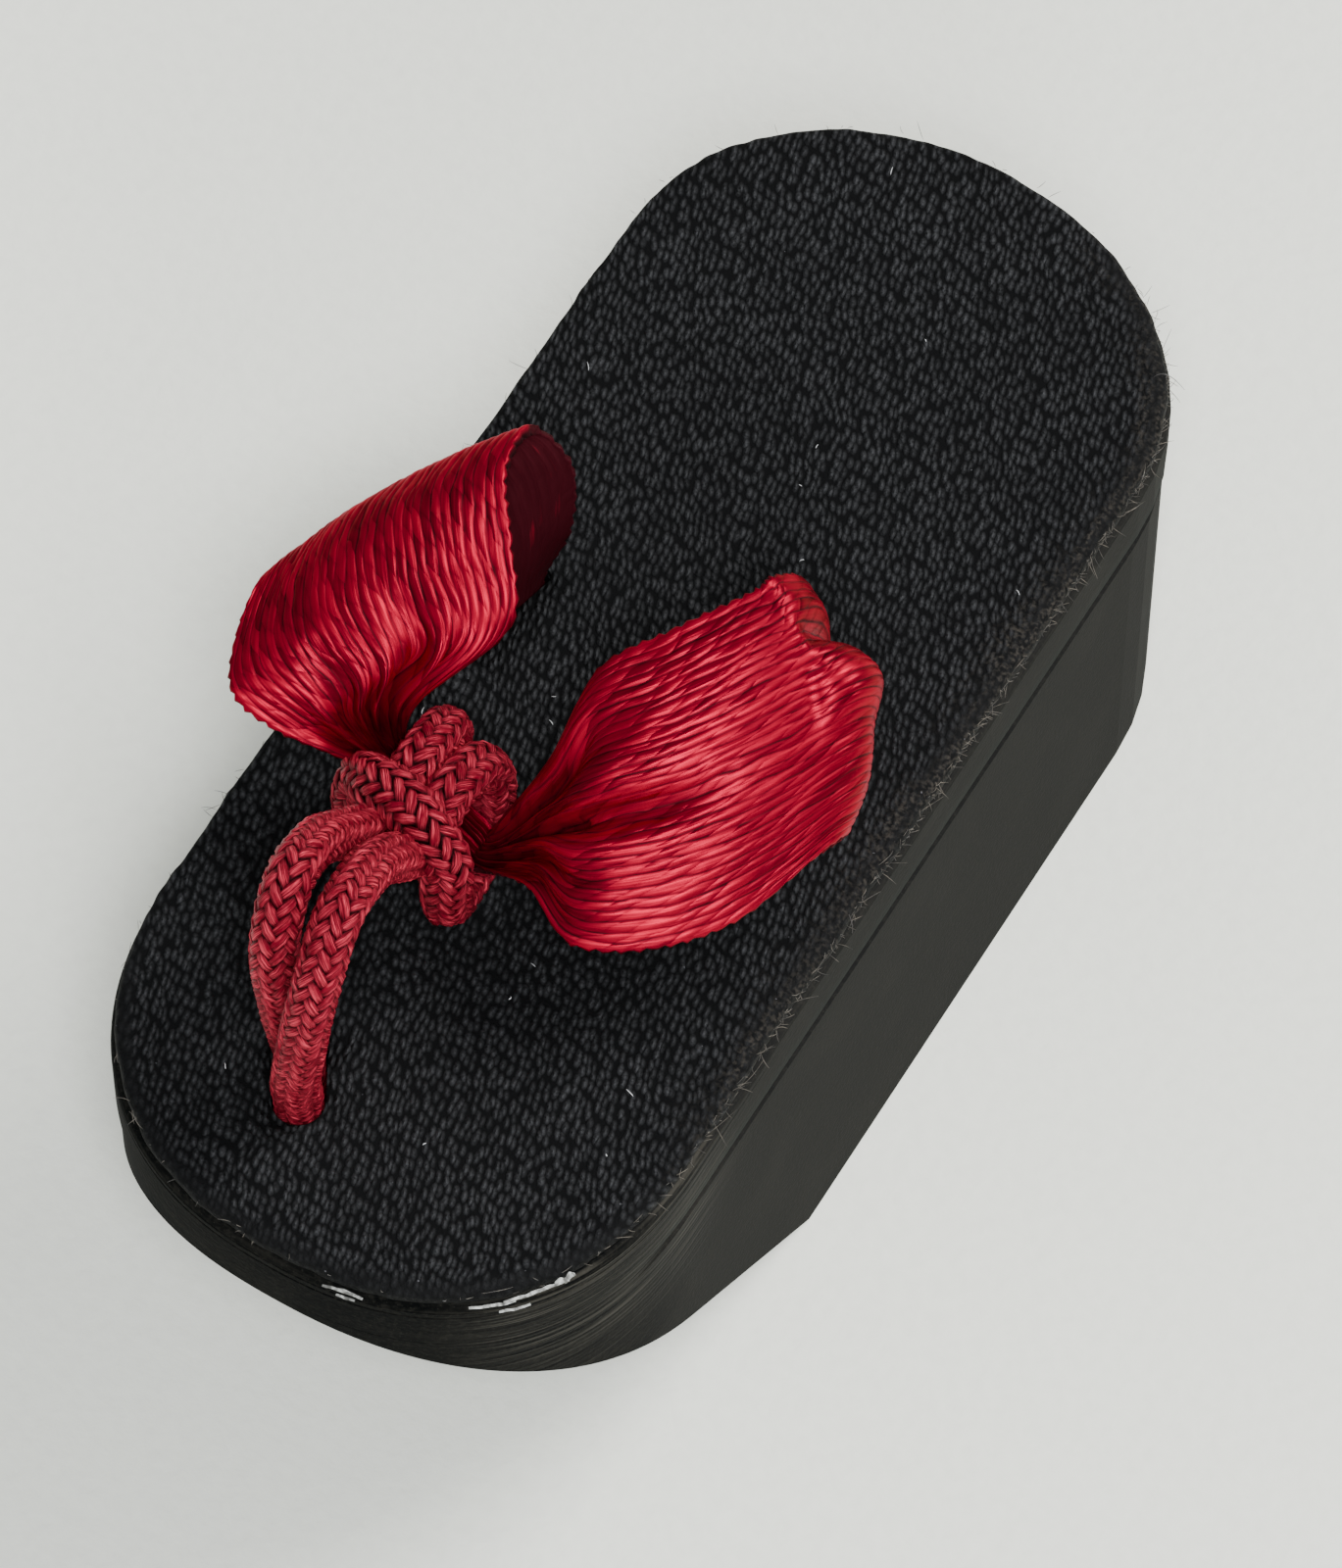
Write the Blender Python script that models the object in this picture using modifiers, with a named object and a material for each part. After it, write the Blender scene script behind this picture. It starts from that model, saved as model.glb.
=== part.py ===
"""A doll's geta sandal of the okobo kind: tall sole, cloth insole, ribbon strap and toe cord.

The shoe stands on z = 0 with its toe towards -Y and its outer side towards +X.
The origin lies on the flat bottom, under the middle of the sole.
"""

import math
from typing import NamedTuple

import bmesh
import bpy
from mathutils import Vector

MM = 0.001

# Sole
SOLE_LENGTH = 30.4 * MM
SOLE_WIDTH = 13.0 * MM
DECK_HEIGHT = 12.0 * MM
DECK_THICKNESS = 1.85 * MM
DECK_EDGE_ROUND = 0.15 * MM
BLOCK_INSET = 0.14 * MM
GROOVE_HEIGHT = 0.22 * MM
GROOVE_DEPTH = 0.34 * MM
GROOVE_FADE = 5.0 * MM
HEEL_ARC = 5.5 * MM
HEEL_ROUNDNESS = 2.07
TOE_ARC = 6.5 * MM
TOE_ROUNDNESS = 2.3
TOE_LIP = 2.1 * MM
SLOPE_RUN = 11.5 * MM
OUTLINE_FACETS = 22

# Cloth insole
CLOTH_THICKNESS = 0.45 * MM
CLOTH_INSET = 0.10 * MM
CLOTH_EDGE_ROUND = 0.14 * MM
GLUE_GAP = 0.05 * MM

# Toe cord: two legs side by side and a lark's head knot
CORD_DIAMETER = 1.08 * MM
TOE_HOLE_FROM_TIP = 3.65 * MM
TOE_HOLE_OFFSET = 1.5 * MM
TOE_HOLE_DEPTH = 2.6 * MM
ARCH_RISE = 6.3 * MM
KNOT_OFFSET = 1.9 * MM
KNOT_FROM_TOE_HOLE = 6.2 * MM
KNOT_OVER_CLOTH = 0.1 * MM
KNOT_CLEARANCE = 0.12 * MM

# The knot's right side lies nearer the toe, by this share of the distance aside
KNOT_SLANT = 0.3

# How the cord's turns lie together, as shares of its diameter
LEG_SPACING_SHARE = 0.95
BAR_HALF_SPAN_SHARE = 1.2
GATHER_HALF_LENGTH_SHARE = 1.42

# Ribbon strap: a loop to each side of the knot
RIBBON_WIDTH = 6.4 * MM
RIBBON_THICKNESS = 0.3 * MM
GATHER_WIDTH = 0.9 * MM
GATHER_THICKNESS = 0.8 * MM
LOOP_RISE = 6.5 * MM
SLOT_DEPTH = 2.1 * MM
STRAP_CLEARANCE = 0.3 * MM

# Fineness of the faceted forms
CORD_STEP = 0.55 * MM
ROUTE_PARTS = 24
RIBBON_STEPS = 4
RIBBON_STRIPS = 14
SLOT_END_STEPS = 8
WELD_DISTANCE = 0.002 * MM
SMOOTH_ANGLE = math.radians(50)

# Places of the even sections in the gathered middle, from one end of it to the other
GATHER_SHARES = (-1.0, -0.7, 0.0, 0.7, 1.0)

HALF_WIDTH = SOLE_WIDTH / 2
LEG_SPACING = LEG_SPACING_SHARE * CORD_DIAMETER
BAR_HALF_SPAN = BAR_HALF_SPAN_SHARE * CORD_DIAMETER
GATHER_HALF_LENGTH = GATHER_HALF_LENGTH_SHARE * CORD_DIAMETER
CLOTH_BOTTOM = DECK_HEIGHT + GLUE_GAP
CLOTH_TOP = CLOTH_BOTTOM + CLOTH_THICKNESS
TOE_HOLE = Vector((-TOE_HOLE_OFFSET, TOE_HOLE_FROM_TIP - SOLE_LENGTH / 2, CLOTH_TOP))
GATHER_RADIUS = math.hypot(GATHER_WIDTH, GATHER_THICKNESS) / 2
KNOT = Vector((
    -KNOT_OFFSET,
    TOE_HOLE.y + KNOT_FROM_TOE_HOLE,
    CLOTH_TOP + KNOT_OVER_CLOTH + CORD_DIAMETER + KNOT_CLEARANCE + GATHER_RADIUS,
))
KNOT_AXIS = Vector((1.0, -KNOT_SLANT, 0.0))
WRAP_RADIUS = GATHER_RADIUS + KNOT_CLEARANCE + CORD_DIAMETER / 2
RIGHT_REACH = HALF_WIDTH - (KNOT.x + GATHER_HALF_LENGTH)
LEFT_REACH = HALF_WIDTH + (KNOT.x - GATHER_HALF_LENGTH)


class Section(NamedTuple):
    """One section across the ribbon.

    x places its middle outwards from the end of the gathered part, as a share of the way
    to the sole's side (RIGHT_REACH or LEFT_REACH). y is its way back from the knot, as a
    share of HALF_WIDTH, and z its height over the cloth, as a share of LOOP_RISE. The width
    columns run from the back selvedge to the front one, and the crown columns say how far
    the middle stands out of the straight line between them, as shares of RIBBON_WIDTH.
    """

    x: float
    y: float
    z: float
    width_x: float
    width_y: float
    width_z: float
    crown_x: float
    crown_y: float
    crown_z: float


# From the knot outwards, over the crest and down to the deck
RIGHT_LOOP = (
    Section(0.167, -0.00, 0.57, 0.14, -0.38, -0.17, 0.01, -0.01, 0.04),
    Section(0.271, 0.07, 0.66, 0.34, -0.72, -0.39, 0.02, -0.03, 0.08),
    Section(0.451, 0.23, 0.71, 0.42, -0.81, -0.47, 0.05, 0.00, 0.09),
    Section(0.612, 0.45, 0.75, 0.45, -0.80, -0.50, 0.09, 0.08, 0.08),
    Section(0.686, 0.67, 0.78, 0.54, -0.55, -0.42, 0.13, 0.11, 0.00),
    Section(0.698, 0.78, 0.60, 0.47, -0.54, -0.42, 0.10, 0.08, -0.04),
    Section(0.666, 0.75, 0.32, 0.30, -0.60, -0.24, 0.06, 0.04, 0.00),
    Section(0.621, 0.71, 0.00, 0.16, -0.65, 0.00, 0.00, 0.00, 0.00),
)
LEFT_LOOP = (
    Section(0.067, 0.05, 0.51, -0.18, -0.31, -0.06, 0.00, 0.00, 0.05),
    Section(0.047, 0.16, 0.62, -0.50, -0.64, -0.16, -0.02, 0.00, 0.09),
    Section(0.386, 0.29, 0.67, -0.53, -0.87, -0.14, -0.05, 0.00, 0.10),
    Section(0.640, 0.49, 0.69, -0.47, -0.90, -0.11, -0.06, 0.02, 0.05),
    Section(0.704, 0.71, 0.65, -0.47, -0.89, -0.06, -0.06, 0.01, 0.00),
    Section(0.513, 0.76, 0.49, -0.55, -0.83, -0.09, -0.10, 0.01, 0.00),
    Section(0.279, 0.73, 0.25, -0.40, -0.74, -0.08, -0.05, 0.01, 0.00),
    Section(0.152, 0.69, 0.00, -0.16, -0.65, 0.00, 0.00, 0.00, 0.00),
)


class Fold(NamedTuple):
    """A soft trough that runs out from the knot along one loop.

    across is its place between the selvedges, -0.5 at the back one and 0.5 at the front
    one. spread is its half width, as a share of the ribbon's width. depth is a share of
    RIBBON_WIDTH, and reach the sections that it runs over before it fades.
    """

    across: float
    spread: float
    depth: float
    reach: float


RIGHT_FOLDS = (
    Fold(across=0.10, spread=0.10, depth=0.085, reach=3.0),
    Fold(across=-0.28, spread=0.09, depth=0.050, reach=2.2),
)
LEFT_FOLDS = (
    Fold(across=-0.12, spread=0.09, depth=0.070, reach=2.6),
    Fold(across=0.22, spread=0.09, depth=0.050, reach=2.6),
)


class Leg(NamedTuple):
    """One point of the cord legs between the toe hole and the knot.

    run is its way from the hole to the knot as a share of KNOT_FROM_TOE_HOLE, rise its
    height over the cloth as a share of ARCH_RISE, lean its way from the hole's offset to
    the knot's, apart the distance between the legs as a share of LEG_SPACING, and twist
    how far the pair is turned from side by side, in degrees.
    """

    run: float
    rise: float
    lean: float
    apart: float
    twist: float


LEGS = (
    Leg(run=0.000, rise=0.00, lean=0.00, apart=0.98, twist=60),
    Leg(run=-0.045, rise=0.24, lean=-0.30, apart=1.00, twist=56),
    Leg(run=-0.075, rise=0.55, lean=-0.60, apart=1.14, twist=40),
    Leg(run=-0.020, rise=0.86, lean=-0.40, apart=1.24, twist=18),
    Leg(run=0.165, rise=1.02, lean=0.20, apart=1.26, twist=6),
    Leg(run=0.375, rise=0.93, lean=0.70, apart=1.22, twist=0),
    Leg(run=0.530, rise=0.74, lean=1.00, apart=1.10, twist=0),
)


class Turn(NamedTuple):
    """One point of a cord on its way round the gathered ribbon.

    angle is in degrees, 0 towards the heel and 90 up. out is the distance beyond
    WRAP_RADIUS as a share of CORD_DIAMETER, and aside the distance from the knot's middle
    as a share of BAR_HALF_SPAN.
    """

    angle: float
    out: float
    aside: float


# A leg goes over the ribbon, down behind it, back under it and up in front
LEG_TURNS = (
    Turn(angle=150, out=0.40, aside=0.36),
    Turn(angle=122, out=0.02, aside=0.36),
    Turn(angle=90, out=0.00, aside=0.36),
    Turn(angle=45, out=0.00, aside=0.40),
    Turn(angle=0, out=0.00, aside=0.50),
    Turn(angle=-45, out=0.00, aside=0.64),
    Turn(angle=-90, out=0.00, aside=0.80),
    Turn(angle=-135, out=0.08, aside=0.92),
    Turn(angle=-170, out=0.20, aside=1.00),
)
# One half of the bar across both legs, from its side end to its middle
BAR_TURNS = (
    Turn(angle=-160, out=0.15, aside=1.00),
    Turn(angle=165, out=0.20, aside=1.02),
    Turn(angle=138, out=0.42, aside=0.96),
    Turn(angle=127, out=0.90, aside=0.56),
    Turn(angle=123, out=1.00, aside=0.00),
)


def new_collection(name):
    """A collection of the scene, made once."""
    collection = bpy.data.collections.new(name)
    bpy.context.scene.collection.children.link(collection)
    return collection


def new_material(name, colour, roughness):
    """A Principled material with one colour."""
    material = bpy.data.materials.new(name)
    material.use_nodes = True
    shader = material.node_tree.nodes["Principled BSDF"]
    shader.inputs["Base Color"].default_value = (*colour, 1.0)
    shader.inputs["Roughness"].default_value = roughness
    shader.inputs["Metallic"].default_value = 0.0
    return material


def as_mesh(holder, collection):
    """The evaluated form of a curve object, as a welded mesh object of the same name."""
    collection.objects.link(holder)
    bpy.context.view_layer.update()
    evaluated = holder.evaluated_get(bpy.context.evaluated_depsgraph_get())
    mesh = bpy.data.meshes.new_from_object(evaluated)
    bm = bmesh.new()
    bm.from_mesh(mesh)
    bmesh.ops.remove_doubles(bm, verts=bm.verts, dist=WELD_DISTANCE)
    bmesh.ops.recalc_face_normals(bm, faces=bm.faces)
    bm.to_mesh(mesh)
    bm.free()
    name = holder.name
    matrix = holder.matrix_world.copy()
    bpy.data.objects.remove(holder)
    piece = bpy.data.objects.new(name, mesh)
    piece.matrix_world = matrix
    collection.objects.link(piece)
    return piece


def hide_guide(piece):
    """Mark a cutter or a joined form, which isn't a piece of its own."""
    piece.hide_render = True
    piece.display_type = "WIRE"
    return piece


def add_boolean(piece, operation, other):
    """Cut the other form out of the piece, or join it on."""
    modifier = piece.modifiers.new(f"{operation.lower()} {other.name}", "BOOLEAN")
    modifier.operation = operation
    modifier.solver = "EXACT"
    modifier.object = other


def plan_outline(inset, facets, inset_at=None):
    """The sole's outline from above, anticlockwise from the heel's right corner.

    inset_at gives a further inset for each place along the sole.
    """
    ends = (
        (1, HEEL_ARC, HEEL_ROUNDNESS),
        (-1, TOE_ARC, TOE_ROUNDNESS),
    )
    points = []
    for side, arc, roundness in ends:
        start = side * (SOLE_LENGTH / 2 - arc)
        for step in range(facets + 1):
            angle = math.pi * step / facets
            cosine = math.cos(angle)
            across = math.copysign(abs(cosine) ** (2 / roundness), cosine)
            along = math.sin(angle) ** (2 / roundness)
            depth = inset
            if inset_at is not None:
                depth += inset_at(start + side * arc * along)
            x = side * (HALF_WIDTH - depth) * across
            y = start + side * (arc - depth) * along
            points.append(Vector((x, y)))
    return points


def slab(name, collection, points, low, high, edge=0.0):
    """A flat outline between two heights, with its edges rounded by a small radius."""
    curve = bpy.data.curves.new(name, "CURVE")
    curve.dimensions = "2D"
    curve.fill_mode = "BOTH"
    curve.extrude = (high - low) / 2 - edge
    curve.bevel_depth = edge
    curve.bevel_resolution = 1
    curve.offset = -edge
    spline = curve.splines.new("POLY")
    spline.points.add(len(points) - 1)
    for point, place in zip(spline.points, points):
        point.co = (place.x, place.y, 0.0, 1.0)
    spline.use_cyclic_u = True
    holder = bpy.data.objects.new(name, curve)
    holder.location.z = (low + high) / 2
    return as_mesh(holder, collection)


def stadium(centre, direction, length, width):
    """A slot's outline: two straight sides and two round ends."""
    along = direction.normalized()
    across = Vector((-along.y, along.x))
    reach = (length - width) / 2
    points = []
    for side in (1, -1):
        for step in range(SLOT_END_STEPS + 1):
            angle = math.pi * step / SLOT_END_STEPS - math.pi / 2
            offset = along * math.cos(angle) + across * math.sin(angle)
            points.append(centre + side * (along * reach + offset * width / 2))
    return points


def smooth_route(points, spacing):
    """Points at an even spacing on a smooth curve through the given ones."""
    padded = [2 * points[0] - points[1], *points, 2 * points[-1] - points[-2]]
    fine = []
    for index in range(1, len(padded) - 2):
        before, start, end, after = padded[index - 1 : index + 3]
        for part in range(ROUTE_PARTS):
            fine.append(blend_four(before, start, end, after, part / ROUTE_PARTS))
    fine.append(points[-1])
    lengths = [0.0]
    for start, end in zip(fine, fine[1:]):
        lengths.append(lengths[-1] + (end - start).length)
    count = max(2, round(lengths[-1] / spacing))
    route = []
    index = 0
    for step in range(count + 1):
        target = lengths[-1] * step / count
        while index < len(lengths) - 2 and lengths[index + 1] < target:
            index += 1
        stretch = lengths[index + 1] - lengths[index]
        share = 0.0 if stretch == 0.0 else (target - lengths[index]) / stretch
        route.append(fine[index].lerp(fine[index + 1], min(1.0, max(0.0, share))))
    return route


def blend_four(before, start, end, after, share):
    """A smooth value between start and end, led by their neighbours."""
    slope_in = (end - before) / 2
    slope_out = (after - start) / 2
    square = share * share
    cube = square * share
    return (
        start * (2 * cube - 3 * square + 1)
        + slope_in * (cube - 2 * square + share)
        + end * (3 * square - 2 * cube)
        + slope_out * (cube - square)
    )


def tube(name, collection, route):
    """A round cord along a route, with closed ends."""
    curve = bpy.data.curves.new(name, "CURVE")
    curve.dimensions = "3D"
    curve.bevel_depth = CORD_DIAMETER / 2
    curve.bevel_resolution = 3
    curve.use_fill_caps = True
    spline = curve.splines.new("POLY")
    spline.points.add(len(route) - 1)
    for point, place in zip(spline.points, route):
        point.co = (*place, 1.0)
    return as_mesh(bpy.data.objects.new(name, curve), collection)


def section_forms(section, side):
    """Middle, width and crown of one section in metres, side -1 for the left loop."""
    reach = RIGHT_REACH if side > 0 else LEFT_REACH
    middle = Vector((
        KNOT.x + side * (GATHER_HALF_LENGTH + section.x * reach),
        KNOT.y + section.y * HALF_WIDTH,
        CLOTH_TOP + section.z * LOOP_RISE,
    ))
    width = Vector((section.width_x, section.width_y, section.width_z)) * RIBBON_WIDTH
    crown = Vector((section.crown_x, section.crown_y, section.crown_z)) * RIBBON_WIDTH
    return middle, width, crown


def ribbon_end(section, side):
    """The ribbon's tail, straight down into its slot in the deck."""
    middle, width, crown = section_forms(section, side)
    low = middle.copy()
    low.z = DECK_HEIGHT - SLOT_DEPTH + STRAP_CLEARANCE
    return low, width, crown


def gathered_forms(share):
    """The gathered middle of the ribbon, from one side of the knot (-1) to the other (1)."""
    middle = KNOT + KNOT_AXIS * share * GATHER_HALF_LENGTH
    width = Vector((0.0, -GATHER_WIDTH, 0.0))
    return middle, width, Vector((0.0, 0.0, 0.0))


def ribbon_rows():
    """All sections from the left tail to the right one, with thickness and place.

    The place counts sections from the knot's edge, negative on the left loop.
    """
    gathered = [(gathered_forms(share), GATHER_THICKNESS, 0.0) for share in GATHER_SHARES]
    loops = []
    for side, loop in ((-1, LEFT_LOOP), (1, RIGHT_LOOP)):
        rows = []
        for index, section in enumerate(loop):
            rows.append((section_forms(section, side), RIBBON_THICKNESS, side * (index + 1.0)))
        rows.append((ribbon_end(loop[-1], side), RIBBON_THICKNESS, side * (len(loop) + 1.0)))
        loops.append(rows)
    left, right = loops
    return [*reversed(left), *gathered, *right]


def fold_depth(place, across):
    """How deep the folds sink the ribbon at one place."""
    folds = LEFT_FOLDS if place < 0 else RIGHT_FOLDS
    distance = abs(place)
    depth = 0.0
    for fold in folds:
        if distance < fold.reach:
            swell = math.sin(math.pi * (distance / fold.reach) ** 0.6)
            shape = math.exp(-(((across - fold.across) / fold.spread) ** 2))
            depth += fold.depth * RIBBON_WIDTH * swell * shape
    return depth


def ribbon_grid():
    """Points and thicknesses of the ribbon's middle surface, section by section."""
    rows = ribbon_rows()
    padded = [rows[0], *rows, rows[-1]]
    grid = []
    last = len(padded) - 3
    for index in range(1, last + 1):
        near = padded[index - 1 : index + 3]
        for step in range(RIBBON_STEPS + (index == last)):
            share = step / RIBBON_STEPS
            middle, width, crown = (
                blend_four(*(row[0][form] for row in near), share) for form in range(3)
            )
            thickness = near[1][1] * (1 - share) + near[2][1] * share
            place = near[1][2] * (1 - share) + near[2][2] * share
            grid.append((section_points(middle, width, crown), thickness, place))
    return grid


def section_points(middle, width, crown):
    """Points from the back selvedge to the front one, with their shares across."""
    points = []
    for strip in range(RIBBON_STRIPS + 1):
        across = strip / RIBBON_STRIPS - 0.5
        points.append((across, middle + width * across + crown * (1 - 4 * across**2)))
    return points


def surface_normal(grid, row, column):
    """The upward side of the ribbon's surface at one of its points."""
    last_row = len(grid) - 1
    along = grid[min(row + 1, last_row)][0][column][1] - grid[max(row - 1, 0)][0][column][1]
    section = grid[row][0]
    across = section[min(column + 1, RIBBON_STRIPS)][1] - section[max(column - 1, 0)][1]
    return across.cross(along).normalized()


def make_ribbon(collection, material):
    """The ribbon strap: a thin shell that thickens where it is gathered in the knot."""
    grid = ribbon_grid()
    vertices = []
    weights = []
    for row, (section, thickness, place) in enumerate(grid):
        for column, (across, point) in enumerate(section):
            depth = fold_depth(place, across)
            vertices.append(point - surface_normal(grid, row, column) * depth)
            weights.append(thickness / GATHER_THICKNESS)
    columns = RIBBON_STRIPS + 1
    faces = []
    for row in range(len(grid) - 1):
        for column in range(RIBBON_STRIPS):
            corner = row * columns + column
            faces.append((corner, corner + 1, corner + columns + 1, corner + columns))
    mesh = bpy.data.meshes.new("ribbon_strap")
    mesh.from_pydata(vertices, [], faces)
    mesh.materials.append(material)
    ribbon = bpy.data.objects.new("ribbon_strap", mesh)
    collection.objects.link(ribbon)
    group = ribbon.vertex_groups.new(name="thickness")
    for index, weight in enumerate(weights):
        group.add([index], weight, "REPLACE")
    shell = ribbon.modifiers.new("thickness", "SOLIDIFY")
    shell.thickness = GATHER_THICKNESS
    shell.offset = 0.0
    shell.vertex_group = group.name
    mesh.shade_smooth()
    mesh.set_sharp_from_angle(angle=SMOOTH_ANGLE)
    return ribbon


def slot_outline(section, side, clearance):
    """The outline of a ribbon slot, from the section that stands in it."""
    middle, width, _ = section_forms(section, side)
    length = width.length + 2 * clearance + RIBBON_THICKNESS
    direction = Vector((width.x, width.y))
    return stadium(middle.xy, direction, length, RIBBON_THICKNESS + 2 * clearance)


def toe_hole_outline(clearance):
    """The outline of the toe hole, around the two cords one behind the other."""
    first = LEGS[0]
    apart = LEG_SPACING * first.apart
    twist = math.radians(first.twist)
    direction = Vector((math.cos(twist), -math.sin(twist)))
    across = CORD_DIAMETER + 2 * clearance
    return stadium(TOE_HOLE.xy, direction, apart + across, across)


def groove_inset(y):
    """How far the groove goes in behind the block's wall, fading out towards the toe."""
    toe_start = TOE_ARC - SOLE_LENGTH / 2
    share = min(1.0, max(0.0, (y - toe_start) / GROOVE_FADE + 0.5))
    return (GROOVE_DEPTH - BLOCK_INSET) * share * share * (3 - 2 * share)


def sole_rings():
    """The platform's outlines from the floor up: block, groove and deck."""
    deck_line = DECK_HEIGHT - DECK_THICKNESS
    chamfer = GROOVE_HEIGHT / 4
    soft = DECK_EDGE_ROUND * (1 - math.sqrt(0.5))
    levels = (
        (0.0, BLOCK_INSET, None),
        (deck_line - GROOVE_HEIGHT, BLOCK_INSET, None),
        (deck_line - GROOVE_HEIGHT + chamfer, BLOCK_INSET, groove_inset),
        (deck_line - chamfer, BLOCK_INSET, groove_inset),
        (deck_line, DECK_EDGE_ROUND, None),
        (deck_line + soft, soft, None),
        (deck_line + DECK_EDGE_ROUND, 0.0, None),
        (DECK_HEIGHT - DECK_EDGE_ROUND, 0.0, None),
        (DECK_HEIGHT - soft, soft, None),
        (DECK_HEIGHT, DECK_EDGE_ROUND, None),
    )
    rings = []
    for height, inset, inset_at in levels:
        outline = plan_outline(inset, OUTLINE_FACETS, inset_at)
        rings.append([Vector((place.x, place.y, height)) for place in outline])
    return rings


def ring_solid(name, collection, rings):
    """A closed form through even rings, flat at both ends."""
    bm = bmesh.new()
    loops = [[bm.verts.new(point) for point in ring] for ring in rings]
    for low, high in zip(loops, loops[1:]):
        for index, corner in enumerate(low):
            bm.faces.new((low[index - 1], corner, high[index], high[index - 1]))
    bm.faces.new(reversed(loops[0]))
    bm.faces.new(loops[-1])
    mesh = bpy.data.meshes.new(name)
    bm.to_mesh(mesh)
    bm.free()
    piece = bpy.data.objects.new(name, mesh)
    collection.objects.link(piece)
    return piece


def make_sole(parts, cutters, material):
    """The platform: block, groove and deck, with toe slope, toe hole and ribbon slots."""
    sole = ring_solid("sole_block", parts, sole_rings())
    sole.data.materials.append(material)
    add_boolean(sole, "DIFFERENCE", slope_cutter(cutters))
    hole = slab(
        "toe_hole",
        cutters,
        toe_hole_outline(STRAP_CLEARANCE),
        DECK_HEIGHT - TOE_HOLE_DEPTH,
        CLOTH_TOP,
    )
    add_boolean(sole, "DIFFERENCE", hide_guide(hole))
    for name, loop, side in (("left_slot", LEFT_LOOP, -1), ("right_slot", RIGHT_LOOP, 1)):
        slot = slab(
            name,
            cutters,
            slot_outline(loop[-1], side, STRAP_CLEARANCE),
            DECK_HEIGHT - SLOT_DEPTH,
            CLOTH_TOP,
        )
        add_boolean(sole, "DIFFERENCE", hide_guide(slot))
    return sole


def slope_cutter(cutters):
    """The block that takes off the toe's underside, along one flat slope."""
    tip_height = DECK_HEIGHT - TOE_LIP
    angle = math.atan2(tip_height, SLOPE_RUN)
    size = 2 * SOLE_LENGTH
    bpy.ops.mesh.primitive_cube_add(size=size)
    block = bpy.context.object
    block.name = "toe_slope"
    for collection in list(block.users_collection):
        collection.objects.unlink(block)
    cutters.objects.link(block)
    block.rotation_euler.x = -angle
    tip = Vector((0.0, -SOLE_LENGTH / 2, tip_height))
    up = Vector((0.0, math.sin(angle), math.cos(angle)))
    block.location = tip - up * size / 2
    return hide_guide(block)


def make_insole(parts, cutters, material):
    """The cloth pad on the deck, with the same openings as the deck."""
    cloth = slab(
        "insole_cloth",
        parts,
        plan_outline(CLOTH_INSET, OUTLINE_FACETS),
        CLOTH_BOTTOM,
        CLOTH_TOP,
        CLOTH_EDGE_ROUND,
    )
    cloth.data.materials.append(material)
    openings = (
        ("cloth_toe_hole", toe_hole_outline(STRAP_CLEARANCE)),
        ("cloth_left_slot", slot_outline(LEFT_LOOP[-1], -1, STRAP_CLEARANCE)),
        ("cloth_right_slot", slot_outline(RIGHT_LOOP[-1], 1, STRAP_CLEARANCE)),
    )
    for name, outline in openings:
        cutter = slab(
            name,
            cutters,
            outline,
            CLOTH_BOTTOM - CLOTH_THICKNESS,
            CLOTH_TOP + CLOTH_THICKNESS,
        )
        add_boolean(cloth, "DIFFERENCE", hide_guide(cutter))
    return cloth


def leg_point(leg, side):
    """One point of a leg, side -1 or 1."""
    middle = Vector((
        TOE_HOLE.x + (KNOT.x - TOE_HOLE.x) * leg.lean,
        TOE_HOLE.y + KNOT_FROM_TOE_HOLE * leg.run,
        CLOTH_TOP + ARCH_RISE * leg.rise,
    ))
    twist = math.radians(leg.twist)
    apart = Vector((math.cos(twist), -math.sin(twist), 0.0)) * LEG_SPACING * leg.apart / 2
    return middle + side * apart


def around_ribbon(turn, side):
    """A point round the gathered ribbon, side -1 or 1 of the knot's middle."""
    distance = WRAP_RADIUS + turn.out * CORD_DIAMETER
    angle = math.radians(turn.angle)
    aside = KNOT_AXIS * side * turn.aside * BAR_HALF_SPAN
    return KNOT + aside + Vector((0.0, distance * math.cos(angle), distance * math.sin(angle)))


def cord_leg_route(side):
    """From the toe hole over the arch, under the bar, round the ribbon and up again."""
    foot = leg_point(LEGS[0], side)
    foot.z = DECK_HEIGHT - TOE_HOLE_DEPTH + STRAP_CLEARANCE
    legs = [leg_point(leg, side) for leg in LEGS]
    turns = [around_ribbon(turn, side) for turn in LEG_TURNS]
    return [foot, *legs, *turns]


def bar_route():
    """Across both legs, in front of the ribbon, from one side's end to the other's."""
    left = [around_ribbon(turn, -1) for turn in BAR_TURNS]
    right = [around_ribbon(turn, 1) for turn in BAR_TURNS[:-1]]
    return [*left, *reversed(right)]


def make_cord(parts, cutters, material):
    """The doubled toe cord with its knot, joined where its turns press together."""
    cord = tube("toe_cord", parts, smooth_route(cord_leg_route(-1), CORD_STEP))
    cord.data.materials.append(material)
    other = tube("second_leg", cutters, smooth_route(cord_leg_route(1), CORD_STEP))
    bar = tube("knot_bar", cutters, smooth_route(bar_route(), CORD_STEP))
    add_boolean(cord, "UNION", hide_guide(other))
    add_boolean(cord, "UNION", hide_guide(bar))
    return cord


def main():
    """Build the whole shoe."""
    for old in list(bpy.data.objects):
        bpy.data.objects.remove(old, do_unlink=True)
    parts = new_collection("geta sandal")
    cutters = new_collection("cutters")
    plastic = new_material("black printed plastic", (0.022, 0.023, 0.022), 0.42)
    cloth = new_material("black cloth", (0.008, 0.008, 0.009), 0.9)
    satin = new_material("crimson satin", (0.36, 0.012, 0.026), 0.38)
    braid = new_material("crimson braid", (0.30, 0.010, 0.030), 0.55)
    make_sole(parts, cutters, plastic)
    make_insole(parts, cutters, cloth)
    make_ribbon(parts, satin)
    make_cord(parts, cutters, braid)


main()
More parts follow.
